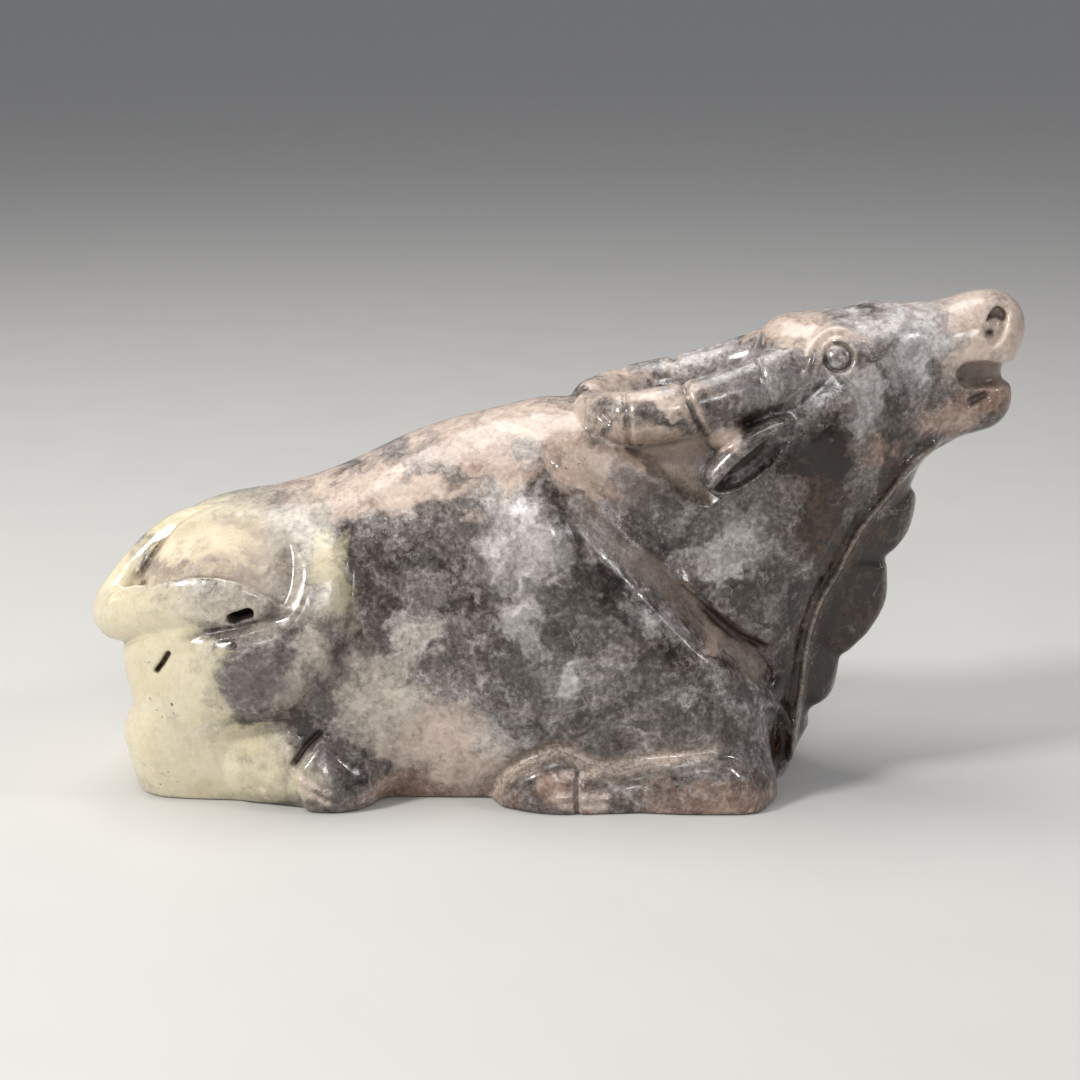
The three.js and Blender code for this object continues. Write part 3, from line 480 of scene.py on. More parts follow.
# Work on the tuft's side alone: the roughed-out pocket beside the tail, the slit and the drilled slot.
slit_line = stroke((-65.8, 22.9), (-64.7, 24.4), (-63.6, 26.2))
tail_crease = stroke((-72, 33.6), (-69.3, 37), (-67.2, 40.1), (-65.3, 42.6))
tuft_foot = stroke(
    (-66.6, 28.5), (-63.3, 28.5), (-60, 29.2), (-57.5, 29.9), (-54.7, 30.6), (-51.7, 31.3), (-49.1, 32.4))
drill_line = stroke((-52.6, 32.9), (-50, 33.9))
DRILL_RADIUS, DRILL_STOP = 0.95, -17


def near_side_relief(x, y, z):
    pocket = step(pocket_area(x, z), 1.5, 1.8) * fade(-1, -6, y) * fade(-43, -52, x)
    crease = groove(tail_crease(x, z), 0.45, 0.45) * fade(-3, -6, y)
    foot = groove(tuft_foot(x, z), 0.9, 0.8) * fade(-64, -56, x) * fade(-10, -14, y)
    return np.where(y > 0, 0, pocket + crease + foot + groove(slit_line(x, z), 2, 0.3))


def carved(d, relief, x, y, z):
    """d with a relief added near its surface."""
    return d + within(0, np.abs(d) < RELIEF_REACH, lambda some: relief(x[some], y[some], z[some]))


def body(x, y, z):
    side = np.abs(y)
    d = join(trunk(x, y, z), rump(x, side, z), FLOWING)
    d = join(d, hip(x, side, z), SOFT)
    d = limit(d, rear_face(z) - x, FLOWING)
    d = join(d, shoulder(x, side, z), FLOWING)
    d = join(d, arm(x, side, z), SOFT)
    d = limit(d, band_plane(x, side, z), ROUNDED)
    d = join(d, neck(x, y, z), TIGHT)
    d = join(d, dewlap(x, side, z), TIGHT)
    return carved(d, lambda u, v, w: body_relief(u, np.abs(v), w) + near_side_relief(u, v, w), x, y, z)


def head(x, side, z):
    d = join(bridge(x, side, z), muzzle(x, side, z), FIRM)
    d = join(d, skull(x, side, z), ROUNDED)
    d = join(d, jaw(x, side, z), ROUNDED)
    d = join(d, poll(x, side, z), FIRM)
    d = join(d, brow(x, side, z), FIRM)
    return carved(d, head_relief, x, side, z)


def ring_relief(x, side, z):
    cut = sum(groove(ring(x, z), 0.6, 0.4) for ring in horn_rings) + groove(horn_rings[1](x, z), 0.4, 0.8)
    cut += groove(horn_pit(x, z), 0.8, 0.6)
    return cut * fade(9, 13, side)


def stone(x, y, z):
    """The whole stone. Relief is added to each group of forms before the next group joins it."""
    side = np.abs(y)
    near_tail = tail(x, y, z)
    d = body(x, y, z) + groove(near_tail, 0.7, 0.7) * fade(-50, -58, x)
    d = join(d, shank(x, side, z), ROUNDED)
    d = join(d, foreleg(x, side, z), TIGHT)
    d = carved(d, leg_relief, x, side, z)
    d = join(d, head(x, side, z), SOFT)
    d = join(d, near_tail, CRISP)
    d = np.where(y < DRILL_STOP, limit(d, DRILL_RADIUS - drill_line(x, z), 0.5), d)
    d = join(d, carved(horn(x, side, z), ring_relief, x, side, z), 1)
    d = join(d, horn_web(x, side, z), CRISP)
    d = carved(d, eye_relief, x, side, z)
    d = join(d, ear(x, side, z), CRISP)
    return limit(d, BASE - z, SHARP)


def untangle(values):
    """Flips the weakest corner of each grid face whose inner corners only meet across its diagonal."""
    for _ in range(8):
        found = 0
        for u, v in ((0, 1), (0, 2), (1, 2)):
            corners = []
            for du, dv in ((0, 0), (1, 0), (1, 1), (0, 1)):
                cut = [slice(None)] * 3
                cut[u] = slice(du, values.shape[u] - 1 + du)
                cut[v] = slice(dv, values.shape[v] - 1 + dv)
                corners.append(values[tuple(cut)])
            a, b, c, d = (corner < 0 for corner in corners)
            at = np.argwhere((a == c) & (b == d) & (a != b))
            found += len(at)
            for place in at:
                ring = []
                for du, dv in ((0, 0), (1, 0), (1, 1), (0, 1)):
                    corner = place.copy()
                    corner[u] += du
                    corner[v] += dv
                    ring.append(tuple(corner))
                weakest = min(ring, key=lambda corner: abs(values[corner]))
                values[weakest] = -0.01 * np.sign(values[weakest])
        if not found:
            break
    return values


def sample(field, low, high, cell):
    """Field values on a grid: first on a coarse one, then near the surface on the fine one."""
    block = 4
    count = np.ceil((high - low) / (cell * block)).astype(int)
    middle = [low[a] + (np.arange(count[a]) + 0.5) * cell * block for a in range(3)]
    at = np.meshgrid(*middle, indexing="ij")
    coarse = field(*(a.ravel().astype(np.float32) for a in at)).reshape(count)
    fine = np.repeat(np.repeat(np.repeat(coarse, block, 0), block, 1), block, 2)
    near = np.abs(fine) < cell * block * 1.5
    i, j, k = np.nonzero(near)
    x, y, z = (low[a] + (n + 0.5) * cell for a, n in enumerate((i, j, k)))
    fine[near] = field(x.astype(np.float32), y.astype(np.float32), z.astype(np.float32))
    return untangle(fine)


def skin(values, low, cell):
    """Surface nets: one vertex in each cell that the surface crosses, and a quad over each crossed edge."""
    inside = values < 0
    crossed = np.zeros(tuple(n - 1 for n in values.shape), bool)
    total = np.zeros(crossed.shape + (3,), np.float32)
    weight = np.zeros(crossed.shape, np.float32)
    shape = crossed.shape

    def corner(array, offset):
        return array[tuple(slice(o, o + n) for o, n in zip(offset, shape))]

    for axis in range(3):
        for u in (0, 1):
            for v in (0, 1):
                start = [u, v]
                start.insert(axis, 0)
                end = list(start)
                end[axis] = 1
                a, b = corner(values, start), corner(values, end)
                cut = (a < 0) != (b < 0)
                t = np.where(cut, a / np.where(cut, a - b, 1), 0)
                for other in range(3):
                    total[..., other] += cut * (start[other] + (t if other == axis else 0))
                weight += cut
                crossed |= cut
    number = np.full(shape, -1)
    cells = np.argwhere(crossed)
    number[crossed] = np.arange(len(cells))
    points = low + (cells + 0.5 + total[crossed] / weight[crossed][:, None]) * cell
    quads = []
    for axis in range(3):
        u, v = [a for a in range(3) if a != axis]
        a = inside[tuple(slice(0, -1) if n == axis else slice(None) for n in range(3))]
        b = inside[tuple(slice(1, None) if n == axis else slice(None) for n in range(3))]
        edge = np.argwhere(a != b)
        edge = edge[(edge[:, u] > 0) & (edge[:, v] > 0) & (edge[:, u] < shape[u]) & (edge[:, v] < shape[v])]
        out = a[tuple(edge.T)]
        ring = []
        for du, dv in ((-1, -1), (0, -1), (0, 0), (-1, 0)):
            at = edge.copy()
            at[:, u] += du
            at[:, v] += dv
            ring.append(number[tuple(at.T)])
        ring = np.stack(ring, 1)
        turn = out if axis != 1 else ~out
        quads.append(np.where(turn[:, None], ring, ring[:, ::-1]))
    return points, np.concatenate(quads)


def field_and_slope(p, nudge):
    """The field at each point, and how it changes over a nudge along each axis."""
    here = stone(*p.T)
    moved = [stone(*(p + nudge * axis).T) for axis in np.eye(3, dtype=np.float32)]
    return here, np.stack([there - here for there in moved], 1)


def settle(points, quads, rounds):
    """Evens the mesh out: each point moves to the middle of its neighbours and back onto the surface."""
    nudge = 0.04
    a, b = quads.ravel(), np.roll(quads, -1, 1).ravel()
    near = np.bincount(a, minlength=len(points)) + np.bincount(b, minlength=len(points))
    for _ in range(rounds):
        middle = [np.bincount(a, p[b], len(p)) + np.bincount(b, p[a], len(p)) for p in points.T]
        p = mix(points, np.stack(middle, 1) / near[:, None], 0.6).astype(np.float32)
        here, slope = field_and_slope(p, nudge)
        steep = np.maximum((slope ** 2).sum(1), (0.3 * nudge) ** 2)
        points = p - np.clip(here * nudge / steep, -CELL, CELL)[:, None] * slope
    return points


def fine_mesh():
    """The carving's fine skin as a triangle mesh of at most TRIANGLES, in form millimetres."""
    points, quads = skin(sample(stone, LOW, HIGH, CELL), LOW, CELL)
    points = settle(points, quads, 2)
    mesh = bpy.data.meshes.new("carving")
    mesh.vertices.add(len(points))
    mesh.vertices.foreach_set("co", points.astype(np.float32).ravel())
    mesh.loops.add(quads.size)
    mesh.loops.foreach_set("vertex_index", quads.astype(np.int32).ravel())
    mesh.polygons.add(len(quads))
    mesh.polygons.foreach_set("loop_start", np.arange(0, quads.size, 4, dtype=np.int32))
    mesh.update(calc_edges=True)
    piece = bpy.data.objects.new("carving", mesh)
    bpy.context.scene.collection.objects.link(piece)
    thin = piece.modifiers.new("thin", "DECIMATE")
    thin.ratio = TRIANGLES / (2 * len(quads))
    thin.use_collapse_triangulate = True
    done = bpy.data.meshes.new_from_object(piece.evaluated_get(bpy.context.evaluated_depsgraph_get()))
    piece.modifiers.clear()
    piece.data = done
    bpy.data.meshes.remove(mesh)
    return piece


def positions(mesh):
    out = np.empty(3 * len(mesh.vertices), np.float32)
    mesh.vertices.foreach_get("co", out)
    return out.reshape(-1, 3)


def add_attribute(mesh, name, values):
    layer = mesh.attributes.new(name, "FLOAT", "POINT")
    layer.data.foreach_set("value", values.astype(np.float32))


def hollowness(p, reach):
    """0 on open or bulging stone, towards 1 in a cleft about as wide as the reach."""
    slope = field_and_slope(p, 0.1)[1]
    normal = slope / np.maximum(np.linalg.norm(slope, axis=1), 1e-6)[:, None]
    return np.clip(1 - stone(*(p + reach * normal).T) / reach, 0, 1)


# Where the stone was left matt: along the band's middle, and on the neck behind the ear.
band_middle = stroke(
    (5.5, 49.5), (9.1, 44.1), (15.4, 39.8), (21.4, 33.7), (25.7, 29.7), (30.4, 25.6), (33.7, 21.6))
nape_area = outline(
    (1, 59.9), (1.6, 54.5), (3.6, 47.8), (6.9, 43.1), (10.2, 46.5), (13.7, 50.8), (17.6, 52.5), (21.9, 53.9),
    (17.6, 56.5), (13.7, 58.5), (9.4, 60.8), (5.5, 62.5))


def raw_zones(x, y, z):
    """How far the stone was left rough from the tool, between 0 and 1."""
    side = np.abs(y)
    off_horn = fade(0.3, 1, np.minimum(horn(x, side, z), ear(x, side, z)))
    return np.maximum.reduce([
        fade(1, -1.5, pocket_area(x, z)) * fade(-1, -6, y) * fade(-43, -50, x) * fade(0.3, 1, tail(x, y, z)),
        fade(1, -1, under_horn_area(x, z)) * fade(6, 10, side) * off_horn,
        0.75 * fade(2.7, 1.0, band_middle(x, z)) * fade(4, 14, x) * fade(8, 13, side),
        0.4 * fade(1.5, -1.5, nape_area(x, z)) * fade(8, 13, side) * off_horn,
    ])


def pale_dust_and_glow_zones(x, y, z):
    """Pale dust in the legs' shallow cuts, pale bands by the horn rings, eyelids and neck rib, and painted
    light through the dewlap's thin edge.
    """
    side = np.abs(y)
    low, on_eye, on_horn = fade(14, 20, side), fade(4, 6.5, side), fade(0.8, 0.3, horn(x, side, z))
    zones = [bell(foreleg_edge(x, z), 1.1) * low]
    zones += [1.4 * bell(line(x, z), 0.6) * low for line in toe_lines + [toe_split]]
    zones += [0.7 * bell(ring(x, z) - 1, 0.5) * on_horn for ring in horn_rings[1:3]]
    zones += [0.6 * bell(line(x, z), 0.45) * on_eye for line in (lid_rim, lid_fold)]
    # Painted light: the dewlap's thin edge is paler, as if light shone through it.
    zones.append(0.35 * fade(-1.6, -0.2, x - dewlap_edge(z)) * fade(58, 54, z) * (x > 38))
    zones.append(0.5 * bell(neck_rib(x, z), 0.5) * fade(3, 5, side))
    return np.maximum.reduce(zones)


def soil_and_shade_zones(x, y, z):
    """Dark brown soil and painted shade in the deep cuts and holes, and painted shade along the foot of the
    thigh and under the tuft.
    """
    side = np.abs(y)
    on_head, on_eye = fade(2, 4, side), fade(4, 6.5, side)
    off_ring = np.hypot(x - EYE[0], z - EYE[1]) - EYE_RADIUS
    # Painted shade along the outer foot of the thigh.
    thigh_foot = bell(thigh_area(x, z) - 0.8, 1.3) * fade(48, 42, z) * fade(10, 16, z) * fade(-54, -46, x)
    in_ear = fade(0.4, -0.8, ear_hollow(x, z)) * fade(EAR_MIDDLE - 1, EAR_MIDDLE + 1, side)
    return np.maximum.reduce([
        bell(band_slit(x, z), 1.2) * fade(22, 27, x) * fade(36.5, 34, x) * fade(8, 13, side),
        fade(0.3, -0.4, nostril_roof(x, z)) * on_head,
        bell(nostril_pit(x, z), 0.6) * on_head,
        0.6 * bell(chin_pit(x, z), 1) * on_head,
        0.3 * bell(off_ring, 0.4) * on_eye,
        0.6 * fade(0.8, -0.6, mouth_area(x, z)) * fade(-1, 3, side),
        0.4 * thigh_foot * fade(8, 14, side),
        0.95 * in_ear,
        0.7 * bell(toe_split(x, z) - 0.2, 0.3) * fade(14, 20, side),
        0.7 * bell(tuft_foot(x, z), 0.7) * fade(-63, -56, x) * fade(-12, -15, y),
        bell(slit_line(x, z), 0.4) * (y < -6),
    ])


class Shader:
    """Small helpers that add nodes to one material and hand back the sockets."""

    def __init__(self, name):
        self.material = bpy.data.materials.new(name)
        self.material.use_nodes = True
        self.tree = self.material.node_tree
        self.tree.nodes.clear()

    def add(self, kind, settings=None, **inputs):
        node = self.tree.nodes.new(kind)
        for key, value in (settings or {}).items():
            setattr(node, key, value)
        for key, value in inputs.items():
            socket = node.inputs[int(key[1:])] if key[1:].isdigit() else node.inputs[key.replace("_", " ")]
            if isinstance(value, bpy.types.NodeSocket):
                self.tree.links.new(value, socket)
            else:
                socket.default_value = value
        return node

    def math(self, operation, a, b=0.0):
        return self.add("ShaderNodeMath", {"operation": operation}, i0=a, i1=b).outputs[0]

    def vector(self, operation, a, b=(0, 0, 0)):
        return self.add("ShaderNodeVectorMath", {"operation": operation}, i0=a, i1=b)

    def noise(self, at, scale, detail=4.0, roughness=0.55, distortion=0.0):
        return self.add("ShaderNodeTexNoise", Vector=at, Scale=scale, Detail=detail,
                        Roughness=roughness, Distortion=distortion)

    def remap(self, value, low, high, to_low=0.0, to_high=1.0):
        node = self.add("ShaderNodeMapRange", {"interpolation_type": "SMOOTHSTEP"},
                        i0=value, i1=low, i2=high, i3=to_low, i4=to_high)
        return node.outputs[0]

    def blend(self, amount, a, b):
        node = self.tree.nodes.new("ShaderNodeMix")
        node.data_type = "RGBA"
        for index, value in ((0, amount), (6, a), (7, b)):
            if isinstance(value, bpy.types.NodeSocket):
                self.tree.links.new(value, node.inputs[index])
            else:
                node.inputs[index].default_value = value if index == 0 else tone(value)
        return node.outputs[2]

    def ramp(self, value, stops):
        node = self.add("ShaderNodeValToRGB", i0=value)
        ramp = node.color_ramp
        for place, _ in stops[2:]:
            ramp.elements.new(place)
        for element, (place, colour) in zip(ramp.elements, sorted(stops)):
            element.position = place
            element.color = tone(colour)
        return node.outputs[0]

    def attribute(self, name):
        return self.add("ShaderNodeAttribute", {"attribute_name": name}).outputs["Fac"]


def tone(colour):
    """A linear colour from screen values between 0 and 255."""
    scaled = [c / 255 for c in colour]
    return [c / 12.92 if c <= 0.04045 else ((c + 0.055) / 1.055) ** 2.4 for c in scaled] + [1.0]


def patches(s, at, spots):
    """A mask from soft spots, each (x, z, half width, half height, strength), seen from the side."""
    best = 0.0
    for x, z, wide, tall, strength in spots:
        offset = s.vector("SUBTRACT", at, (x, 0, z)).outputs[0]
        scaled = s.vector("MULTIPLY", offset, (1 / wide, 0, 1 / tall)).outputs[0]
        away = s.vector("LENGTH", scaled).outputs["Value"]
        best = s.math("MAXIMUM", s.remap(away, SPOT_CORE, SPOT_RIM, strength, 0.0), best)
    return best


# Where the stone changes colour, and where light and shade are painted: soft spots in form millimetres, each
# (x, z, half width, half height, strength), with full colour inside SPOT_CORE of its half sizes and none
# beyond SPOT_RIM.
SPOT_CORE, SPOT_RIM = 0.2, 1.6
# The zones lean forward with the depth behind the near flank, and wander in wide and in small waves.
ZONE_LEAN, NEAR_FLANK = 0.3, 20.0
WANDER, RIPPLE = 14, 9
PALE = [
    (-68, 18, 13, 22, 1), (-74, 33, 12, 9, 1), (-62, 46, 15, 7, 0.9), (-60, 3, 16, 8, 0.9),
    (-36, 40, 4, 11, 0.7), (-56, 10, 10, 4, 0.8),
]
WHITE = [
    (-46, 40, 10, 9, 1), (-38.5, 36, 4, 7, 1), (-41, 26, 4, 5, 1), (-46, 19.6, 5, 3.4, 1),
    (-60, 34, 14, 6, 1), (-46, 8, 8, 5, 0.8), (-50, 46, 10, 6, 1), (-29, 19, 8, 10, 1),
    (-24, 28, 5, 5, 0.6), (-38, 44, 5, 6, 0.9), (-56, 35, 12, 5, 1),
]
# The cream spot on the horn web, (27.6, 60.6), is painted light: the ledge is made lighter as if lit.
CREAM = [
    (-20, 9, 12, 7, 0.8), (-36, 51, 14, 4, 1), (-18, 59, 16, 4, 1), (-3, 63, 12, 4, 1), (-24, 52, 12, 4, 1),
    (-9, 55, 6, 4, 0.9), (-18, 52, 8, 2, 0.8), (42, 78, 12, 3, 0.9), (82, 76, 8, 10, 1), (73, 76, 6, 8, 1),
    (66, 82, 6, 3, 0.8), (14, 67, 12, 2.4, 0.8), (27.6, 60.6, 3, 2.4, 0.9),
]
BLUSH = [
    (-22, 1.5, 13, 3.4, 1), (-2, 3, 7, 4, 0.8), (24, 3, 15, 4, 0.7), (-8, 56, 10, 3, 0.6),
    (58, 58, 6, 3, 0.7), (71, 64, 7, 4, 1), (80, 66, 8, 5, 1),
]
TAN = [(4, 57, 5, 6, 1), (9, 53.6, 5, 5, 0.9), (2, 62, 5, 4, 0.8), (27, 28, 3, 3, 0.7), (18, 59, 8, 4, 0.8)]
# Painted shade: THIGH_FOOT darkens the foot of the thigh and TUFT_FOOT the crease under the tuft.
THIGH_FOOT, TUFT_FOOT = (-44, 16.4, 4, 3, 0.9), (-56, 30.2, 3.4, 1.2, 1)
SHADE = [
    THIGH_FOOT, (42, 50, 5, 8, 0.9), (42, 30, 6, 9, 0.8), (8, 40, 4, 6, 0.9),
    (-12, 24, 5, 3, 0.5), (-18, 38, 4, 5, 0.5), (19, 62, 3.4, 3, 0.9), (12, 26, 6, 4, 0.5),
    (47, 62, 4, 4, 0.6), (-30, 34, 4, 6, 0.5), (6, 15, 5, 4, 0.6), (20, 34, 4, 5, 0.6), (18, 24, 5, 3, 0.7),
    TUFT_FOOT, (22, 46, 8, 3, 0.6),
]
# Dark brown stone on the dewlap and the front of the neck, darkened further as painted shade on the unlit
# front.
UMBER_AND_SHADE = [
    (55, 34, 11, 16, 1.3), (61, 49, 6, 9, 1.3), (48, 20, 8, 12, 1.3), (46, 8, 8, 9, 1.3), (41, 56, 4, 5, 0.7),
    (45, 47, 5, 9, 1.2), (47, 54, 5, 7, 1.2),
]
SMOKE = [
    (-53, 21.6, 7, 5.4, 0.95), (-40, 10, 4, 4, 0.9), (-36, 47.6, 4, 2.6, 0.6), (-62.6, 38.4, 2.6, 1.6, 0.9),
    (-32, 55, 5, 2.4, 0.6), (-20, 58, 6, 3, 0.7),
]
# Lighter stone; the spot at (-8, 46) on the shoulder is also partly a painted highlight.
LIGHT = [
    (28, 43, 7, 4.6, 0.75), (-8, 46, 7, 8, 0.9), (-5, 34, 4, 6, 0.9), (52, 66, 6, 6, 0.65),
    (60, 79, 14, 5, 1), (60, 73, 7, 5, 1), (34, 71, 16, 4, 0.6), (14, 30, 4, 4, 0.7), (-24, 30, 5, 5, 0.6),
    (2, 24, 4, 4, 0.6), (-10, 12, 6, 4, 0.6),
]


def stone_material(centre, grow):
    """Mottled grey stone that runs to pale yellow at the rump, polished but for the raw places."""
    s = Shader("mottled_stone")
    place = s.add("ShaderNodeTexCoord").outputs["Object"]
    place = s.add("ShaderNodeVectorMath", {"operation": "MULTIPLY_ADD"},
                  i0=place, i1=(1000 / grow,) * 3, i2=tuple(centre)).outputs[0]
    across = s.add("ShaderNodeSeparateXYZ", i0=place).outputs["Y"]
    lean = s.math("MULTIPLY", s.math("ADD", across, NEAR_FLANK), ZONE_LEAN)
    lean = s.add("ShaderNodeCombineXYZ", X=lean).outputs[0]
    leaned = s.vector("ADD", place, lean).outputs[0]
    drift = s.vector("SUBTRACT", s.noise(place, 0.06, 2).outputs["Color"], (0.5, 0.5, 0.5)).outputs[0]
    ripple = s.vector("SUBTRACT", s.noise(place, 0.3, 4, 0.6).outputs["Color"], (0.5, 0.5, 0.5)).outputs[0]
    moved = leaned
    for shift, amount in ((drift, WANDER), (ripple, RIPPLE)):
        moved = s.add("ShaderNodeVectorMath", {"operation": "MULTIPLY_ADD"},
                      i0=shift, i1=(amount,) * 3, i2=moved).outputs[0]

    def part(noise, share):
        return s.math("MULTIPLY", s.math("SUBTRACT", noise.outputs["Fac"], 0.5), share)

    large, small = s.noise(moved, 0.075, 2, 0.5), s.noise(moved, 0.26, 4, 0.6, 0.5)
    clouds = s.math("ADD", part(large, 0.5), part(small, 1.05))
    fine = s.noise(place, 1.1, 4, 0.65)
    mottle = s.math("ADD", s.math("ADD", clouds, part(fine, 0.7)), 0.5)
    calm = s.math("ADD", s.math("MULTIPLY", s.math("SUBTRACT", mottle, 0.5), 0.6), 0.5)
    still = s.math("ADD", s.math("MULTIPLY", s.math("SUBTRACT", mottle, 0.5), 0.3), 0.5)
    ragged = s.math("ADD", part(s.noise(moved, 0.3, 5, 0.65), 0.85), part(s.noise(moved, 0.09, 2), 0.6))

    grey = s.ramp(mottle, [
        (0.2, (38, 32, 29)), (0.35, (64, 56, 52)), (0.5, (97, 89, 84)), (0.65, (135, 127, 125)),
        (0.8, (182, 176, 175))])
    pale = s.ramp(still, [(0.3, (190, 176, 144)), (0.5, (214, 203, 174)), (0.7, (230, 223, 204))])
    white = s.ramp(calm, [(0.3, (112, 102, 94)), (0.45, (164, 154, 142)), (0.65, (206, 198, 184))])
    cream = s.ramp(calm, [(0.3, (150, 131, 120)), (0.45, (190, 170, 157)), (0.68, (220, 203, 189))])
    blush = s.ramp(mottle, [(0.2, (92, 68, 56)), (0.5, (148, 122, 108)), (0.75, (188, 168, 154))])
    tan = s.ramp(mottle, [(0.2, (132, 113, 100)), (0.5, (176, 156, 142)), (0.75, (204, 185, 171))])
    shade = s.ramp(mottle, [(0.25, (26, 20, 17)), (0.5, (64, 54, 49)), (0.7, (130, 120, 115))])
    # Dark brown stone and painted shade: the darkest tones of the unlit dewlap and neck front.
    umber_and_shade = s.ramp(mottle, [(0.2, (12, 5, 2)), (0.5, (33, 19, 10)), (0.75, (80, 58, 42))])
    smoke = s.ramp(mottle, [(0.2, (68, 60, 58)), (0.5, (116, 107, 105)), (0.8, (166, 158, 154))])
    light = s.ramp(mottle, [(0.2, (116, 109, 108)), (0.5, (174, 167, 165)), (0.75, (220, 214, 212))])

    colour = grey
    pale_zone = None
    for spots, tones, soft in (
            (LIGHT, light, 0.4), (SHADE, shade, 0.35), (TAN, tan, 0.3), (CREAM, cream, 0.4),
            (BLUSH, blush, 0.4), (UMBER_AND_SHADE, umber_and_shade, 0.3), (WHITE, white, 0.4), (PALE, pale, 0.4),
            (SMOKE, smoke, 0.35)):
        spot = patches(s, moved, spots)
        mask = s.math("ADD", spot, s.math("MULTIPLY", ragged, s.remap(spot, 0.0, 0.3)))
        mask = s.remap(mask, 0.5 - soft, 0.5 + soft)
        if spots is PALE:
            pale_zone = mask
        colour = s.blend(mask, colour, tones)
    # Painted shade at the thigh's foot and under the tuft, laid again over the pale zones.
    colour = s.blend(patches(s, moved, [THIGH_FOOT, TUFT_FOOT]), colour, shade)

    specks = s.remap(s.noise(place, 1.3, 3, 0.6).outputs["Fac"], 0.66, 0.74)
    crowd = s.remap(s.noise(place, 0.12, 2).outputs["Fac"], 0.45, 0.62)
    colour = s.blend(s.math("MULTIPLY", specks, crowd), colour, (40, 33, 30))
    cracks = s.add("ShaderNodeTexVoronoi", {"feature": "DISTANCE_TO_EDGE"}, Vector=moved, Scale=0.2)
    some = s.remap(s.noise(place, 0.2, 2).outputs["Fac"], 0.52, 0.66)
    veins = s.math("MULTIPLY", s.remap(cracks.outputs["Distance"], 0.05, 0.0), some)
    colour = s.blend(s.math("MULTIPLY", veins, 0.35), colour, (196, 188, 182))

    raw = s.attribute("raw")
    dust = s.math("MULTIPLY", raw, s.remap(s.noise(place, 1.6, 3, 0.7).outputs["Fac"], 0.3, 0.7, 0.3, 0.8))
    colour = s.blend(dust, colour, s.blend(pale_zone, (156, 136, 121), (230, 210, 178)))
    # Painted shade with some dirt: the hollows are darkened the way shade falls in them, in dark brown that
    # turns tan on the pale zones.
    hollow = s.attribute("hollow")
    recess_shade_and_dirt = s.math("MULTIPLY", s.remap(hollow, 0.35, 1.0), s.remap(fine.outputs["Fac"], 0.35, 0.6, 0.45, 0.85))
    colour = s.blend(recess_shade_and_dirt, colour, s.blend(pale_zone, (46, 32, 24), (120, 96, 60)))

    # Pale dust on the legs and pale bands elsewhere, with painted light along the dewlap's thin edge.
    broken = s.remap(s.noise(place, 1.2, 4, 0.7).outputs["Fac"], 0.38, 0.6, 0.3, 0.9)
    pale_dust_and_glow = s.math("MULTIPLY", s.attribute("pale_dust_and_glow"), broken)
    colour = s.blend(pale_dust_and_glow, colour, (206, 188, 174))
    # Brown soil and painted shade in the deep cuts, holes and creases.
    soil_and_shade = s.math("MULTIPLY", s.attribute("soil_and_shade"), s.remap(fine.outputs["Fac"], 0.3, 0.5, 0.75, 1.0))
    colour = s.blend(soil_and_shade, colour, (40, 20, 12))

    rough = s.remap(s.noise(place, 0.35, 4, 0.6).outputs["Fac"], 0.35, 0.65, 0.13, 0.27)
    rough = s.math("MAXIMUM", rough, s.math("MULTIPLY", raw, 0.6))
    for dull, share in ((recess_shade_and_dirt, 0.7), (pale_dust_and_glow, 0.5), (soil_and_shade, 0.6)):
        rough = s.math("MAXIMUM", rough, s.math("MULTIPLY", dull, share))
    wobble = s.math("MULTIPLY", s.noise(place, 0.45, 3).outputs["Fac"], 0.07)
    pores = s.math("MULTIPLY", s.remap(s.noise(place, 1.8, 3, 0.6).outputs["Fac"], 0.62, 0.8), -0.06)
    stipple = s.math("MULTIPLY", s.math("MULTIPLY", s.noise(place, 2.4, 3, 0.7).outputs["Fac"], raw), 0.2)
    height = s.math("MULTIPLY", s.math("ADD", s.math("ADD", wobble, pores), stipple), 0.001)
    bump = s.add("ShaderNodeBump", Strength=1.0, Distance=1.0, Height=height).outputs[0]

    polish = s.add("ShaderNodeBsdfPrincipled", Base_Color=colour, Roughness=rough, Normal=bump, IOR=1.58,
                   Subsurface_Weight=0.25, Subsurface_Radius=(1.0, 0.82, 0.6), Subsurface_Scale=0.003)
    s.add("ShaderNodeOutputMaterial", Surface=polish.outputs[0])
    return s.material


def carve():
    """The buffalo's fine skin, set in the box of its CAD solid."""
    piece = fine_mesh()
    mesh = piece.data
    p = positions(mesh)
    add_attribute(mesh, "hollow", np.maximum(hollowness(p, 1.0), hollowness(p, 2.5) * 0.8))
    for name, zones in (("raw", raw_zones), ("pale_dust_and_glow", pale_dust_and_glow_zones), ("soil_and_shade", soil_and_shade_zones)):
        add_attribute(mesh, name, zones(*p.T))
    low, high = p.min(0), p.max(0)
    box_low, box_high = (np.array(corner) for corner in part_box("buffalo"))
    grow = (box_high - box_low) / (high - low)
    mesh.vertices.foreach_set("co", (box_low + (p - low) * grow).astype(np.float32).ravel())
    mesh.update()
    mesh.shade_smooth()
    piece.name = mesh.name = "buffalo_carving"
    grow = 1000 * grow[0]
    centre = low - 1000 * box_low / grow
    mesh.materials.append(stone_material(centre, grow))
    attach(piece, "root")
    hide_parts("buffalo")
    return centre, grow


def to_row(point, centre, grow):
    """A point in form millimetres as a place in the row's frame, in metres."""
    return Vector((np.array(point) - centre) * grow / 1000)


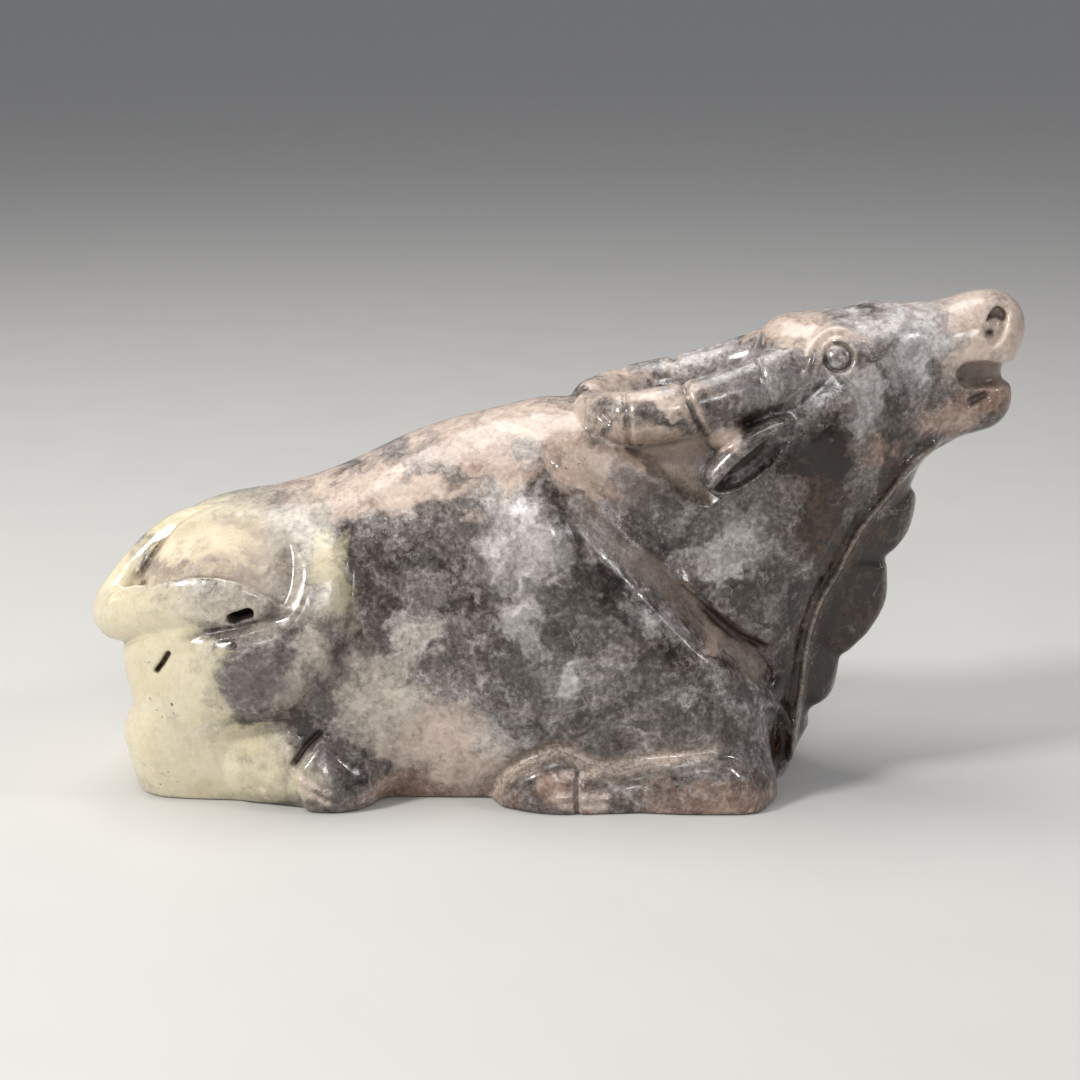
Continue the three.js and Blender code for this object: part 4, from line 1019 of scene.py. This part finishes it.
def floor():
    size = 12.0
    mesh = bpy.data.meshes.new("floor")
    corners = [(-size, -size), (size, -size), (size, size), (-size, size)]
    mesh.from_pydata([(x, y, 0) for x, y in corners], [], [(0, 1, 2, 3)])
    s = Shader("pale_floor")
    place = s.add("ShaderNodeTexCoord").outputs["Object"]
    rough = s.remap(s.noise(place, 40).outputs["Fac"], 0.3, 0.7, 0.55, 0.65)
    board = s.add("ShaderNodeBsdfPrincipled", Base_Color=tone((205, 203, 200)), Roughness=rough)
    s.add("ShaderNodeOutputMaterial", Surface=board.outputs[0])
    mesh.materials.append(s.material)
    piece = bpy.data.objects.new("floor", mesh)
    bpy.context.scene.collection.objects.link(piece)


def soft_light(name, place, aim, size, power, colour=(1, 1, 1)):
    lamp = bpy.data.lights.new(name, "AREA")
    lamp.shape = "RECTANGLE"
    lamp.size, lamp.size_y = size
    lamp.energy = power
    lamp.color = colour
    holder = bpy.data.objects.new(name, lamp)
    holder.location = place
    holder.rotation_euler = (Vector(aim) - Vector(place)).to_track_quat("-Z", "Y").to_euler()
    bpy.context.scene.collection.objects.link(holder)


# The photograph's view: aim and distance in form millimetres, height in degrees and lens in millimetres.
AIM = (-2.6, 0, 40.2)
DISTANCE = 420
RISE = 14
LENS = 81.8


def camera(centre, grow):
    """Stands where the photograph was taken from: level with the flank and a little above it."""
    target = to_row(AIM, centre, grow)
    distance = DISTANCE * grow / 1000
    rise = math.radians(RISE)
    lens = bpy.data.cameras.new("camera")
    lens.lens = LENS
    lens.clip_start = 0.01
    holder = bpy.data.objects.new("camera", lens)
    holder.location = target + Vector((0, -distance * math.cos(rise), distance * math.sin(rise)))
    holder.rotation_euler = (target - holder.location).to_track_quat("-Z", "Y").to_euler()
    bpy.context.scene.collection.objects.link(holder)
    bpy.context.scene.camera = holder


def surroundings():
    world = bpy.data.worlds.new("room")
    world.use_nodes = True
    room = world.node_tree.nodes["Background"]
    room.inputs["Color"].default_value = tone((200, 203, 208))
    room.inputs["Strength"].default_value = 0.41
    bpy.context.scene.world = world
    middle = (0, 0, 0.04)
    soft_light("key", (-0.5, -0.26, 0.45), (-0.02, 0, 0.04), (0.12, 0.12), 3.4, (1, 0.99, 0.96))
    soft_light("above", (-0.15, 0.12, 0.7), middle, (0.5, 0.4), 3, (1, 0.98, 0.95))
    soft_light("front", (0.02, -0.8, 0.45), middle, (0.2, 0.15), 1.3)
    soft_light("glint", (0.5, -0.14, 0.38), middle, (0.06, 0.06), 0.6)
    bpy.context.scene.view_settings.view_transform = "Standard"


centre, grow = carve()
camera(centre, grow)
floor()
surroundings()
